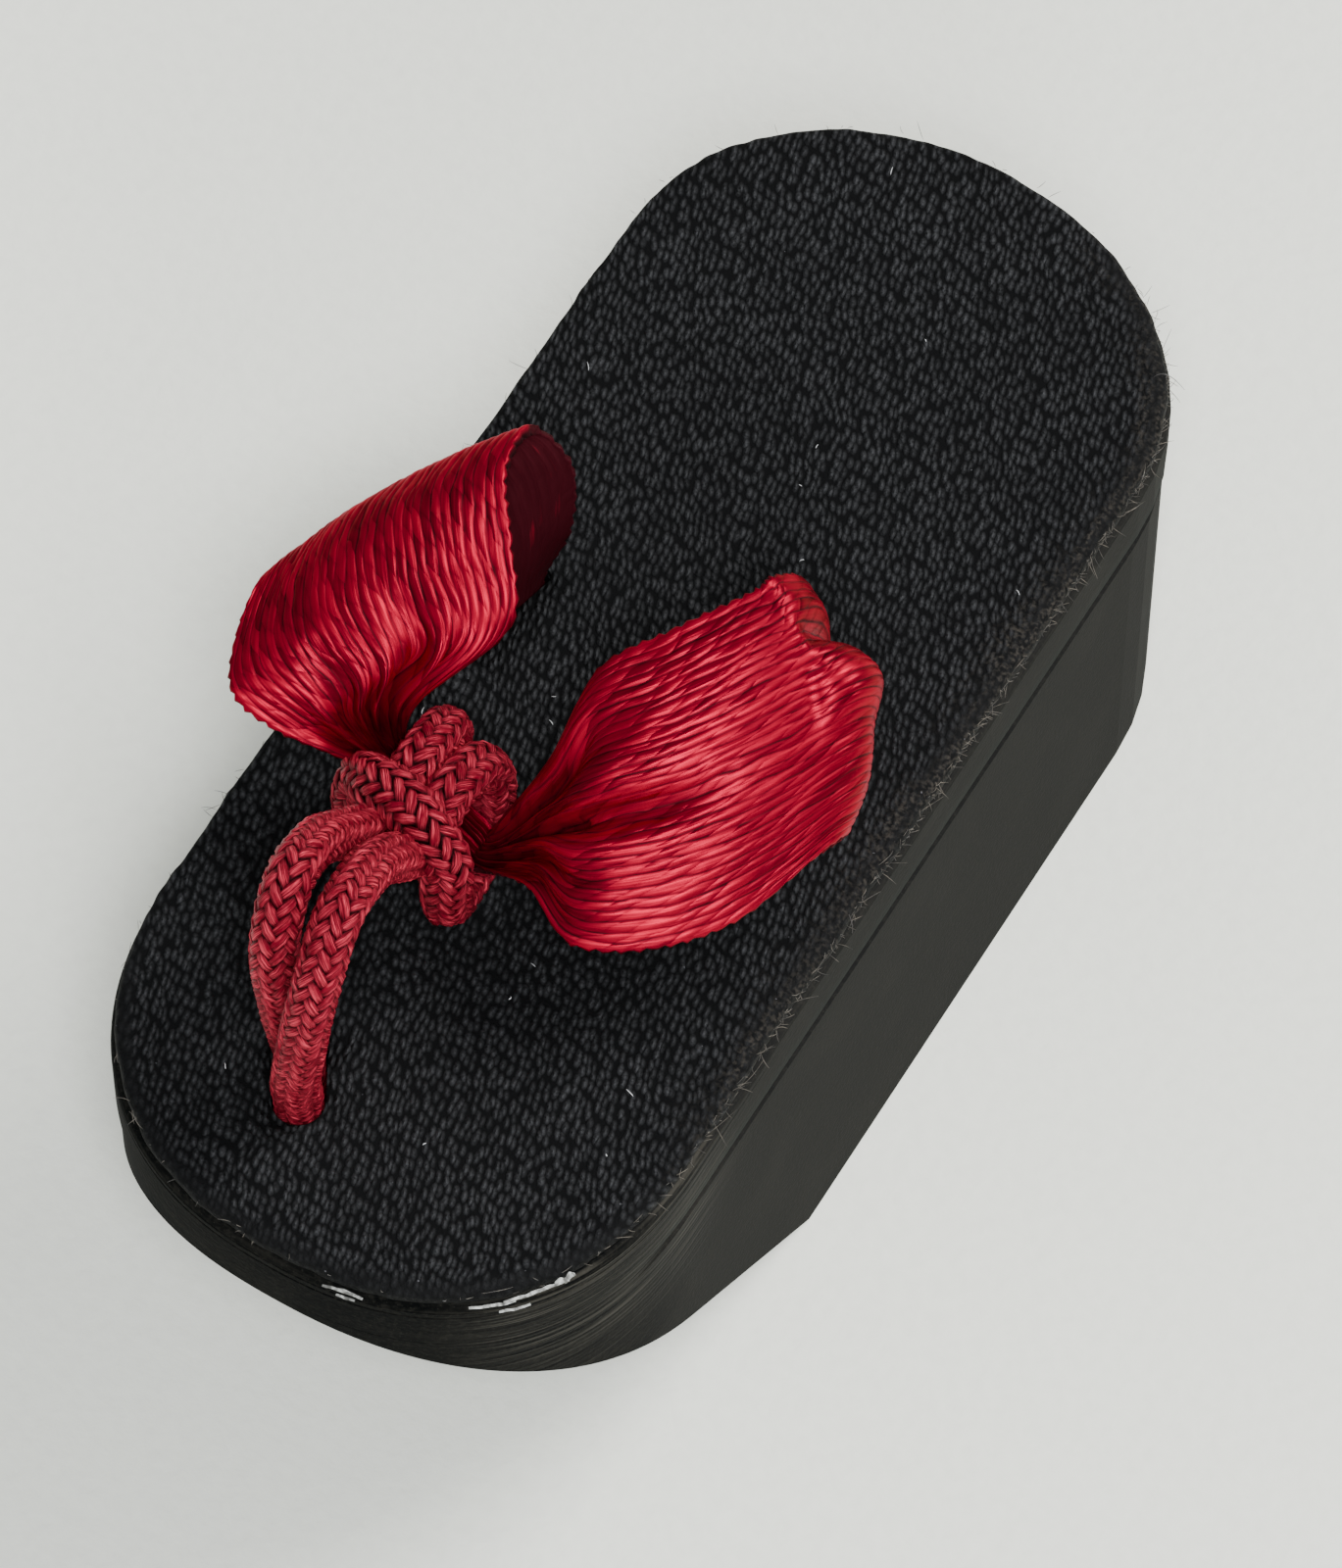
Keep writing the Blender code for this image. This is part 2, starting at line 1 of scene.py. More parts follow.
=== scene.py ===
"""Looks of a doll's geta sandal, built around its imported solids.

The classes hold their sizes in millimetres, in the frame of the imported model: the toe points
to -Y, the heel to +Y and the shoe's outer side to +X, with the floor at z = 0. A mesh gets
metres only when it is made.
"""

import logging
import math
from collections.abc import Sequence
from dataclasses import dataclass
from enum import Enum
from typing import NamedTuple, TypeAlias

import bmesh
import bpy
import numpy as np
from mathutils import Matrix, Vector


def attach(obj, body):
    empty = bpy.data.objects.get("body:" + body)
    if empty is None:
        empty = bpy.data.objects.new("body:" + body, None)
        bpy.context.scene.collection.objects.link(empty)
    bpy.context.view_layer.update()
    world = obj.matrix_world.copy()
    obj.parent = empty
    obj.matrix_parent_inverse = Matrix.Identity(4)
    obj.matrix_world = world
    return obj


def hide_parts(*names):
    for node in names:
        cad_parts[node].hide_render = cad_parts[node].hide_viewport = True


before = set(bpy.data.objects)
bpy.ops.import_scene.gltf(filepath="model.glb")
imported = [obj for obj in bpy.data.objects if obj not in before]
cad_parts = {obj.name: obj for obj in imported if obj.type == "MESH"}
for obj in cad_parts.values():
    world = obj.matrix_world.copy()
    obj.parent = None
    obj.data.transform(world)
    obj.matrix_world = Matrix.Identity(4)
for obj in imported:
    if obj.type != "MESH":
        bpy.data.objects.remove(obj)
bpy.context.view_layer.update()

LOG = logging.getLogger("geta")
MM = 0.001
BODY = "root"
KNOT = (-1.9, -5.35, 14.402)
RIBBON_AXIS = (1.0, -0.3, 0.0)
OUTLINE_STEP = 0.16
ROUTE_STEPS = 24
RIBBON_STEPS = 40

Array: TypeAlias = np.ndarray
Number: TypeAlias = "Value | float"
Colour: TypeAlias = tuple[float, float, float]
Range: TypeAlias = tuple[float, float]
Faces: TypeAlias = list[tuple[int, ...]]


# Shader maths


class Value:
    """A number or vector that varies over a surface, held as a node's output socket.

    Arithmetic on it adds Math nodes to the same material.
    """

    def __init__(self, book: "NodeBook", socket: bpy.types.NodeSocket) -> None:
        """Keep the book that owns the socket.

        Args:
            book: The material's node book.
            socket: The output socket that carries the value.
        """
        self.book = book
        self.socket = socket

    def maths(self, operation: str, *others: Number, swapped: bool = False) -> "Value":
        """Add one Math node.

        Args:
            operation: The Math node's operation.
            others: The further inputs.
            swapped: Whether the first of them comes before this value.

        Returns:
            The node's result.
        """
        inputs = [self, *others]
        if swapped:
            inputs[0], inputs[1] = inputs[1], inputs[0]
        return self.book.add("ShaderNodeMath", {"operation": operation}, dict(enumerate(inputs)))

    def __add__(self, other: Number) -> "Value":
        """Sum."""
        return self.maths("ADD", other)

    __radd__ = __add__

    def __sub__(self, other: Number) -> "Value":
        """Difference."""
        return self.maths("SUBTRACT", other)

    def __rsub__(self, other: Number) -> "Value":
        """Difference with this value taken away."""
        return self.maths("SUBTRACT", other, swapped=True)

    def __mul__(self, other: Number) -> "Value":
        """Product."""
        return self.maths("MULTIPLY", other)

    __rmul__ = __mul__

    def __truediv__(self, other: Number) -> "Value":
        """Quotient."""
        return self.maths("DIVIDE", other)

    def __rtruediv__(self, other: Number) -> "Value":
        """Quotient with this value below."""
        return self.maths("DIVIDE", other, swapped=True)

    def wave(self) -> "Value":
        """A sine between 0 and 1, with one swing for each whole number."""
        return (self * math.tau).maths("SINE") * 0.5 + 0.5

    def part(self) -> "Value":
        """What is left after the whole number below."""
        return self.maths("FRACT")

    def whole(self) -> "Value":
        """The whole number below."""
        return self.maths("FLOOR")

    def clamped(self) -> "Value":
        """The value held between 0 and 1."""
        return self.book.add("ShaderNodeClamp", {}, {0: self})

    def rise(self, low: float, high: float) -> "Value":
        """A soft step from 0 at low to 1 at high.

        Args:
            low: Where it starts.
            high: Where it ends.

        Returns:
            The step's height.
        """
        settings = {"interpolation_type": "SMOOTHSTEP"}
        return self.book.add("ShaderNodeMapRange", settings, {0: self, 1: low, 2: high})


class NodeBook:
    """Writes the nodes of one material."""

    def __init__(self, name: str) -> None:
        """Make the material with an empty Principled shader.

        Args:
            name: The material's name.
        """
        self.material = bpy.data.materials.new(name)
        self.material.use_nodes = True
        self.tree = self.material.node_tree
        self.shader = self.tree.nodes["Principled BSDF"]

    def add(self, kind: str, settings: dict, inputs: dict, output: int | str = 0) -> Value:
        """Add any node.

        Args:
            kind: The node's type.
            settings: Its own settings, set first.
            inputs: Values or links for its sockets, by number or name.
            output: Which output to give back.

        Returns:
            The chosen output.
        """
        node = self.tree.nodes.new(kind)
        for key, setting in settings.items():
            setattr(node, key, setting)
        for key, given in inputs.items():
            if isinstance(given, Value):
                self.tree.links.new(given.socket, node.inputs[key])
            else:
                node.inputs[key].default_value = given
        return Value(self, node.outputs[output])

    def blend(self, share: Number, first: Value | Colour, second: Value | Colour) -> Value:
        """Mix two colours.

        Args:
            share: How much of the second.
            first: A colour or a link.
            second: A colour or a link.

        Returns:
            The mixed colour.
        """
        pair = [given if isinstance(given, Value) else (*given, 1.0) for given in (first, second)]
        inputs = {0: share, 6: pair[0], 7: pair[1]}
        return self.add("ShaderNodeMix", {"data_type": "RGBA"}, inputs, output=2)

    def place(self) -> tuple[Value, Value, Value]:
        """The point on the object.

        Returns:
            Its x, y and z in millimetres.
        """
        spot = self.add("ShaderNodeTexCoord", {}, {}, output="Object")
        parts = [
            self.add("ShaderNodeSeparateXYZ", {}, {0: spot}, output=axis) for axis in "XYZ"
        ]
        return tuple(part * (1 / MM) for part in parts)

    def vector(self, x: Number, y: Number, z: Number) -> Value:
        """Three values as one vector."""
        return self.add("ShaderNodeCombineXYZ", {}, {0: x, 1: y, 2: z})

    def track(self, name: str) -> Value:
        """A value that the mesh carries at each point."""
        return self.add("ShaderNodeAttribute", {"attribute_name": name}, {}, output="Fac")

    def noise(self, at: Value, scale: float, detail: float = 3.0) -> Value:
        """Soft noise between 0 and 1.

        Args:
            at: Where to read it.
            scale: Swings in one unit.
            detail: Octaves.

        Returns:
            The noise.
        """
        return self.add("ShaderNodeTexNoise", {}, {"Vector": at, "Scale": scale, "Detail": detail})

    def cells(self, at: Value, uneven: float) -> tuple[Value, Value]:
        """Random flat cells of about one unit.

        Args:
            at: Where to read them.
            uneven: How far they stray from an even grid, 0 to 1.

        Returns:
            The distance from each cell's middle, and a random number for each cell.
        """
        inputs = {"Vector": at, "Scale": 1.0, "Randomness": uneven}
        flat = {"voronoi_dimensions": "2D"}
        distance = self.add("ShaderNodeTexVoronoi", flat, inputs, output="Distance")
        colour = self.add("ShaderNodeTexVoronoi", flat, inputs, output="Color")
        return distance, self.add("ShaderNodeSeparateColor", {}, {0: colour})

    def chance(self, at: Value) -> Value:
        """An even random number for each whole number given."""
        return self.add("ShaderNodeTexWhiteNoise", {"noise_dimensions": "1D"}, {"W": at})

    def relief(self, height: Value, depth: float, under: Value | None = None) -> Value:
        """A bump from a height.

        Args:
            height: The height, 0 to 1.
            depth: What 1 stands for, in millimetres.
            under: A bump that this one lies on.

        Returns:
            The bumped normal.
        """
        inputs = {"Height": height, "Distance": depth * MM, "Strength": 1.0}
        if under is not None:
            inputs["Normal"] = under
        return self.add("ShaderNodeBump", {}, inputs)

    def finish(self, links: dict[str, Value], numbers: dict[str, object]) -> bpy.types.Material:
        """Connect the shader.

        Args:
            links: What varies, by socket.
            numbers: What is the same all over, by socket.

        Returns:
            The finished material.
        """
        for name, value in links.items():
            self.tree.links.new(value.socket, self.shader.inputs[name])
        for name, number in numbers.items():
            self.shader.inputs[name].default_value = number
        return self.material


# Finishes


RED_GLINT = (1.0, 0.40, 0.45, 1.0)


@dataclass(frozen=True)
class PrintedPlastic:
    """Black printed plastic in fine layers, with painted sheen on the lip and the outer toe
    corner.

    Each range runs in millimetres from where a mark starts to where it is full.
    """

    layer: float = 0.2
    dark: Colour = (0.0096, 0.0097, 0.0094)
    deep: Colour = (0.0010, 0.0014, 0.0015)
    # Paler grain and layer streaks; at the outer toe corner the streaks are painted highlights.
    wear_and_glint: Colour = (0.034, 0.032, 0.027)
    # A painted reflection: a paler band on the deck's side just above the groove.
    lip_sheen: Colour = (0.016, 0.020, 0.018)
    dust: Colour = (0.050, 0.050, 0.042)
    toe_y: Range = (-7.5, -13.0)
    deck_z: Range = (10.05, 10.2)
    lip_z: Range = (10.85, 10.35)
    corner_back_y: Range = (-6.5, -9.5)
    corner_front_y: Range = (-14.6, -13.0)
    corner_x: Range = (2.5, 4.6)
    corner_z: Range = (6.0, 10.0)

    def material(self) -> bpy.types.Material:
        """Write the nodes.

        Returns:
            The sole's material.
        """
        book = NodeBook("black_printed_plastic")
        x, y, z = book.place()
        spot = book.vector(x, y, z)
        drift = book.noise(book.vector(x * 0.35, y * 0.35, z * 0.2), 1.0)
        level = z / self.layer + drift * 0.5
        ridge = level.wave()
        band = book.chance(level.whole())
        streak = book.noise(book.vector(x * 0.22, y * 0.22, z * 7.0), 1.0, 5.0)
        fine_streak = book.noise(book.vector(x * 0.30, y * 0.30, z * 13.0), 1.0, 2.0)
        grain = book.noise(spot, 9.0, 4.0)
        cloud = book.noise(spot, 0.45, 3.0)
        speck = book.noise(spot, 24.0, 2.0).rise(0.62, 0.74)
        toe = y.rise(*self.toe_y)
        deck = z.rise(*self.deck_z)
        corner = y.rise(*self.corner_back_y) * y.rise(*self.corner_front_y)
        corner = corner * x.rise(*self.corner_x) * z.rise(*self.corner_z)
        # The pale layer streaks at the outer toe corner are painted highlights, where the layers
        # catch the light.
        streak_strength = 0.04 + corner * 0.8 + deck * 0.06
        layered = streak.rise(0.42, 0.75) * streak_strength * 0.7 + fine_streak.rise(0.52, 0.66) * streak_strength
        paleness = layered + grain.rise(0.4, 0.8) * 0.25 + cloud.rise(0.4, 0.8) * 0.10
        base = book.blend(toe, self.dark, self.deep)
        colour = book.blend(paleness.clamped(), base, self.wear_and_glint)
        # Painted reflection along the lip, a paler band just above the groove.
        lip = deck * z.rise(*self.lip_z) * (1.0 - toe)
        colour = book.blend(lip * 0.45, colour, self.lip_sheen)
        colour = book.blend(speck * 0.32, colour, self.dust)
        rough = 0.62 + grain * 0.14 + speck * 0.1 - corner * fine_streak * 0.2
        fine = book.relief(grain, 0.014)
        layers = ridge * 0.25 + band * 0.2 + streak * 0.5 + fine_streak * 0.3
        normal = book.relief(layers * streak_strength, 0.030, fine)
        return book.finish(
            {"Base Color": colour, "Roughness": rough, "Normal": normal},
            {"Specular IOR Level": 0.02},
        )


@dataclass(frozen=True)
class BlackTwill:
    """Black cloth: short slanted floats of yarn, pressed flat at the toe's and outer edges.

    across and along are one float's pitch in millimetres.
    """

    across: float = 0.155
    along: float = 0.28
    slant: float = math.radians(-13)
    stagger: float = 1.6
    dark: Colour = (0.0024, 0.0025, 0.0028)
    bright: Colour = (0.037, 0.038, 0.041)
    lint: Colour = (0.20, 0.20, 0.22)
    dust: Colour = (0.050, 0.044, 0.037)

    def material(self) -> bpy.types.Material:
        """Write the nodes.

        Returns:
            The insole's material.
        """
        book = NodeBook("black_twill")
        x, y, z = book.place()
        spot = book.vector(x, y, z)
        sway = book.noise(spot, 0.9, 2.0) - 0.5
        side = x * math.cos(self.slant) - y * math.sin(self.slant) + sway * 0.25
        way = x * math.sin(self.slant) + y * math.cos(self.slant) + z + sway * 0.2
        at = book.vector(side / self.across, way / self.along + side * self.stagger, 0.0)
        distance, luck = book.cells(at, 0.62)
        hump = (1.0 - distance * 1.75).clamped()
        press = book.track("press")
        lively = 1.0 - press * 0.85
        fluff = book.noise(spot, 15.0, 4.0)
        patch = book.noise(spot, 0.6, 3.0)
        # Float tops are paler than the gaps between them: partly the yarn's own random tone,
        # partly painted sheen.
        tone = hump * (0.48 + luck * 0.55) * (0.35 + fluff.rise(0.25, 0.6) * 0.75) * lively
        tone = tone * (0.7 + patch * 0.8)
        colour = book.blend(tone.clamped(), self.dark, self.bright)
        specks = book.noise(spot, 8.0, 1.0).rise(0.80, 0.84)
        colour = book.blend(specks * 0.4, colour, self.lint)
        fray = book.track("fray")
        dusty = (fray * book.noise(spot, 11.0, 4.0).rise(0.42, 0.7)).clamped()
        colour = book.blend(dusty * 0.6, colour, self.dust)
        rough = 0.95 - tone * 0.35 - press * 0.25
        fine = book.relief(fluff, 0.035)
        normal = book.relief(hump * lively, 0.10, fine)
        return book.finish(
            {"Base Color": colour, "Roughness": rough, "Normal": normal},
            {"Specular IOR Level": 0.08},
        )


@dataclass(frozen=True)
class CrimsonSatin:
    """Crimson satin ribbon: ribs of silky twisted yarn, with painted highlights and painted shade.
    """

    slub: float = 0.62
    shadow: Colour = (0.026, 0.0003, 0.0028)
    bright: Colour = (0.44, 0.0030, 0.028)

    def material(self) -> bpy.types.Material:
        """Write the nodes.

        Returns:
            The ribbon's material.
        """
        book = NodeBook("crimson_satin")
        along, across, rib = book.track("along"), book.track("across"), book.track("rib")
        deep, inner = book.track("deep"), book.track("inner")
        mark = rib.whole()
        inside = rib.part() - 0.5
        luck = book.chance(mark)
        stray = book.noise(book.vector(along * 1.1, mark * 3.7, 0.0), 1.0, 2.0) - 0.5
        run = along / self.slub + luck * 7.0 + inside * 0.75 + stray * 1.6
        swell = run.part() - 0.5
        hump = 1.0 - swell * swell * 4.0
        piece = book.chance(run.whole() + mark * 31.0)
        thread = book.noise(book.vector(along * 0.6, across * 15.0, luck), 1.0, 3.0)
        cloud = book.noise(book.vector(along * 0.5, across * 0.6, 3.0), 1.0, 2.0)
        valley = (inside * inside * 4.0).rise(0.30, 1.0)
        # Painted shade: darker in the rib valleys, in the folds and the gather by the knot (deep),
        # and on the underside (inner); the slub tops are painted a little paler as highlights. The
        # rest is the yarn's own random tone.
        tone = 0.40 + (piece - 0.5) * 0.34 + (thread - 0.5) * 0.7 + (cloud - 0.5) * 0.4
        tone = tone + hump * 0.12 - valley * 0.34 - deep * 0.05 - inner * 0.70
        colour = book.blend(tone.clamped(), self.shadow, self.bright)
        rough = 0.36 + valley * 0.15 + piece * 0.08 + inner * 0.35
        metal = 0.80 - inner * 0.78 - valley * 0.2 - deep * 0.4
        fine = book.relief(thread, 0.012)
        normal = book.relief(hump * 0.6 - valley * 0.3, 0.016, fine)
        return book.finish(
            {
                "Base Color": colour,
                "Roughness": rough,
                "Metallic": metal.clamped(),
                "Normal": normal,
            },
            {"Specular IOR Level": 0.22, "Specular Tint": RED_GLINT},
        )


@dataclass(frozen=True)
class CrimsonBraid:
    """Silky crimson yarn of the braided cord, with fine filaments along each strand."""

    dark: Colour = (0.0080, 0.0001, 0.0010)
    bright: Colour = (0.19, 0.0028, 0.015)
    gleam: Colour = (0.76, 0.060, 0.100)

    def material(self) -> bpy.types.Material:
        """Write the nodes.

        Returns:
            The cord's material.
        """
        book = NodeBook("crimson_braid")
        along, across, lift = book.track("along"), book.track("across"), book.track("lift")
        hair = book.noise(book.vector(along * 1.6, across * 6.5, 0.0), 1.0, 3.0)
        patch = book.noise(book.vector(along * 2.6, across * 1.5, 4.0), 1.0, 2.0)
        # Painted shade in the gaps between strands, paler where a strand lifts, and painted
        # highlights (gleam) on the highest strands.
        shine = (lift.rise(0.45, 1.0) * 1.10 + (hair - 0.5) * 2.2 - 0.20).clamped()
        colour = book.blend(shine, self.dark, self.bright)
        lit = patch.rise(0.38, 0.60) * lift.rise(0.6, 1.0) * hair.rise(0.40, 0.62)
        colour = book.blend(lit * 0.85, colour, self.gleam)
        rough = 0.46 - lift * 0.14 + hair * 0.14
        normal = book.relief(hair, 0.060)
        return book.finish(
            {"Base Color": colour, "Roughness": rough, "Normal": normal},
            {"Metallic": 0.25, "Specular IOR Level": 0.18, "Specular Tint": RED_GLINT},
        )


@dataclass(frozen=True)
class DriedGlue:
    """Whitish dried glue, darker in its hollows."""

    hollow_grey: Colour = (0.09, 0.09, 0.085)
    raised_white: Colour = (0.50, 0.51, 0.49)

    def material(self) -> bpy.types.Material:
        """Write the nodes.

        Returns:
            The glue's material.
        """
        book = NodeBook("dried_glue")
        crust = book.noise(book.vector(*book.place()), 7.0, 5.0)
        colour = book.blend(crust.rise(0.36, 0.66), self.hollow_grey, self.raised_white)
        rough = 0.35 + crust * 0.3
        normal = book.relief(crust, 0.05)
        return book.finish(
            {"Base Color": colour, "Roughness": rough, "Normal": normal},
            {"Specular IOR Level": 0.5},
        )


@dataclass(frozen=True)
class LooseFibre:
    """Fine stray fibre of one colour, a little uneven."""

    name: str
    colour: Colour
    pale: Colour

    def material(self) -> bpy.types.Material:
        """Write the nodes.

        Returns:
            The fibres' material.
        """
        book = NodeBook(self.name)
        patch = book.noise(book.vector(*book.place()), 5.0, 2.0)
        colour = book.blend(patch.rise(0.35, 0.7), self.colour, self.pale)
        rough = 0.55 + patch * 0.2
        return book.finish({"Base Color": colour, "Roughness": rough}, {"Sheen Weight": 0.2})


@dataclass(frozen=True)
class PalePaper:
    """The pale table that the shoe stands on, with a fine grey grain."""

    first: Colour = (0.83, 0.845, 0.765)
    second: Colour = (0.86, 0.885, 0.81)
    grey: Colour = (0.55, 0.54, 0.51)

    def material(self) -> bpy.types.Material:
        """Write the nodes.

        Returns:
            The floor's material.
        """
        book = NodeBook("pale_table")
        spot = book.vector(*book.place())
        grain = book.noise(spot, 2.6, 5.0)
        cloud = book.noise(spot, 0.02, 2.0)
        colour = book.blend(cloud, self.first, self.second)
        colour = book.blend(grain.rise(0.3, 0.8) * 0.12, colour, self.grey)
        normal = book.relief(grain, 0.03)
        return book.finish(
            {"Base Color": colour, "Roughness": 0.75 + grain * 0.1, "Normal": normal},
            {"Specular IOR Level": 0.2},
        )


# Forms


def soft_step(low: float, high: float, value: Array) -> Array:
    """A smooth rise from 0 at low to 1 at high."""
    share = np.clip((value - low) / (high - low), 0.0, 1.0)
    return share * share * (3 - 2 * share)


def blend_four(rows: Array, share: Array, index: Array) -> Array:
    """Smooth values between rows, led by their neighbours.

    Args:
        rows: Values with one spare row at each end.
        share: The way from each row to the next, 0 to 1.
        index: Which row each share starts from.

    Returns:
        One line of values for each share.
    """
    before, start, end, after = (rows[index + step] for step in (-1, 0, 1, 2))
    share = share.reshape(-1, *([1] * (rows.ndim - 1)))
    square, cube = share**2, share**3
    return (
        start * (2 * cube - 3 * square + 1)
        + (end - before) / 2 * (cube - 2 * square + share)
        + end * (3 * square - 2 * cube)
        + (after - start) / 2 * (cube - square)
    )


def along_line(points: Array) -> Array:
    """How far along a line each of its points lies."""
    steps = np.linalg.norm(np.diff(points, axis=0), axis=1)
    return np.concatenate([[0.0], np.cumsum(steps)])


def unit(vectors: Array) -> Array:
    """The same directions with a length of one."""
    return vectors / (np.linalg.norm(vectors, axis=-1, keepdims=True) + 1e-12)


def reach_along(vectors: Array, way: Array) -> Array:
    """How far each vector reaches along its direction, as a column."""
    return np.sum(vectors * way, axis=1, keepdims=True)


def refined(padded: Array, steps: int) -> tuple[Array, Array]:
    """Smooth rows between the given ones.

    Args:
        padded: The rows, with one spare row at each end.
        steps: How many to make for each row.

    Returns:
        Each new row's place among the old ones, and the new rows.
    """
    count = len(padded) - 2
    place = np.arange((count - 1) * steps + 1) / steps
    index = np.minimum(place.astype(int), count - 2)
    return place, blend_four(padded, place - index, index + 1)


def even_places(fine: Array, spacing: float) -> Array:
    """Places on a fine line at an even spacing, as shares of its index.

    Args:
        fine: The line's points.
        spacing: The distance wanted.

    Returns:
        Places between 0 and the last index.
    """
    length = along_line(fine)
    count = max(2, round(length[-1] / spacing))
    return np.interp(np.linspace(0, length[-1], count + 1), length, np.arange(len(fine)))


def smooth_route(points: Array, spacing: float) -> Array:
    """Points at an even spacing on a smooth curve.

    Args:
        points: Points that the curve passes through.
        spacing: The distance wanted.

    Returns:
        The new points.
    """
    padded = np.vstack([2 * points[0] - points[1], points, 2 * points[-1] - points[-2]])
    _, fine = refined(padded, ROUTE_STEPS)
    at = even_places(fine, spacing)
    return np.stack([np.interp(at, np.arange(len(fine)), fine[:, axis]) for axis in range(3)], 1)


def new_piece(
    name: str,
    points: Array,
    faces: Sequence[Sequence[int]],
    material: bpy.types.Material,
    tracks: dict[str, Array] | None = None,
    smooth: bool = True,
) -> bpy.types.Object:
    """A mesh object from points in millimetres.

    Args:
        name: The piece's name.
        points: Its points.
        faces: Its faces, as indices of points.
        material: Its material.
        tracks: Values that its points carry, by name.
        smooth: Whether it is shaded smooth.

    Returns:
        The object, in the scene.
    """
    mesh = bpy.data.meshes.new(name)
    mesh.from_pydata((points * MM).tolist(), [], faces)
    mesh.materials.append(material)
    for track, values in (tracks or {}).items():
        attribute = mesh.attributes.new(track, "FLOAT", "POINT")
        attribute.data.foreach_set("value", np.asarray(values, np.float32).ravel())
    if smooth:
        mesh.shade_smooth()
    piece = bpy.data.objects.new(name, mesh)
    bpy.context.scene.collection.objects.link(piece)
    return piece


def grid_faces(rows: int, columns: int, closed: bool = False, start: int = 0) -> list[tuple]:
    """Faces of a grid of points, row by row.

    Args:
        rows: How many rows.
        columns: How many points in each.
        closed: Whether each row is a ring.
        start: The first point's index.

    Returns:
        Faces with four corners.
    """
    faces = []
    last = columns if closed else columns - 1
    for row in range(rows - 1):
        for column in range(last):
            here = start + row * columns + column
            beside = start + row * columns + (column + 1) % columns
            faces.append((here, beside, beside + columns, here + columns))
    return faces


def tube_faces(rows: int, columns: int) -> Faces:
    """Faces of a tube of rings with a flat cap at each end.

    Args:
        rows: How many rings.
        columns: How many points in each.

    Returns:
        The tube's faces and its caps.
    """
    faces = grid_faces(rows, columns, closed=True)
    faces.append(tuple(reversed(range(columns))))
    faces.append(tuple(range((rows - 1) * columns, rows * columns)))
    return faces


def rings_round(line: Array, wide: Array, high: Array, sides: int) -> Array:
    """Flattened rings round a line.

    Args:
        line: The line's points.
        wide: Half of each ring's width, as a direction.
        high: Half of its height, as a direction.
        sides: Points in each ring.

    Returns:
        The rings' points in one list.
    """
    turns = np.arange(sides) * math.tau / sides
    rings = (
        line[:, None]
        + wide[:, None] * np.cos(turns)[None, :, None]
        + high[:, None] * np.sin(turns)[None, :, None]
    )
    return rings.reshape(-1, 3)


def applied(piece: bpy.types.Object) -> bpy.types.Object:
    """Make an object's modifiers real.

    Args:
        piece: The object.

    Returns:
        The same object with its final mesh.
    """
    bpy.context.view_layer.update()
    graph = bpy.context.evaluated_depsgraph_get()
    mesh = bpy.data.meshes.new_from_object(
        piece.evaluated_get(graph), preserve_all_data_layers=True, depsgraph=graph
    )
    piece.modifiers.clear()
    old = piece.data
    piece.data = mesh
    bpy.data.meshes.remove(old)
    mesh.name = piece.name
    return piece


def carried(piece: bpy.types.Object, slot: str, *nodes: str) -> bpy.types.Object:
    """Put a piece on the shoe's body.

    Args:
        piece: The piece.
        slot: Not used.
        nodes: The CAD nodes that it stands for.

    Returns:
        The same piece.
    """
    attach(piece, BODY)
    if nodes:
        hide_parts(*nodes)
    mesh = piece.data
    LOG.info("%s: %d points, %d faces", piece.name, len(mesh.vertices), len(mesh.polygons))
    return piece


def hairs(
    name: str, lines: Sequence[Array], radius: float, material: bpy.types.Material
) -> bpy.types.Object:
    """Fine fibres as one mesh of thin three-sided tubes that taper at both ends.

    Args:
        name: The piece's name.
        lines: The points of each fibre.
        radius: Half the thickness in the middle.
        material: Their material.

    Returns:
        The object.
    """
    points, faces = [], []
    for line in lines:
        sides, ups, _ = moving_frames(line)
        taper = np.sin(np.linspace(0.12, math.pi - 0.12, len(line)))[:, None] ** 0.5 * radius
        faces += grid_faces(len(line), 3, closed=True, start=sum(len(part) for part in points))
        points.append(rings_round(line, sides * taper, ups * taper, 3))
    return new_piece(name, np.vstack(points), faces, material)


def moving_frames(line: Array) -> tuple[Array, Array, Array]:
    """Directions that turn as little as they can along a line.

    Args:
        line: The line's points.

    Returns:
        The side, up and forward direction at each point.
    """
    ahead = unit(np.gradient(line, axis=0))
    side = np.cross(ahead[0], (0.0, 0.0, 1.0))
    if np.linalg.norm(side) < 1e-3:
        side = np.cross(ahead[0], (0.0, 1.0, 0.0))
    sides = []
    for forward in ahead:
        side = unit(side - forward * (side @ forward))
        sides.append(side)
    sides = np.array(sides)
    return sides, np.cross(ahead, sides), ahead


def smooth_noise(rng: np.random.Generator, way: Array, swing: float) -> Array:
    """Smooth random values between -1 and 1 along a closed line.

    Args:
        rng: Where the random numbers come from.
        way: How far along each point lies.
        swing: The length of one swing.

    Returns:
        One value for each point.
    """
    total = way[-1] + (way[-1] - way[-2])
    knots = max(4, round(total / swing))
    values = rng.uniform(-1, 1, knots)
    place = way / total * knots
    index = np.floor(place).astype(int)
    share = soft_step(0.0, 1.0, place - index)
    return values[index % knots] * (1 - share) + values[(index + 1) % knots] * share


# The sole and its cloth


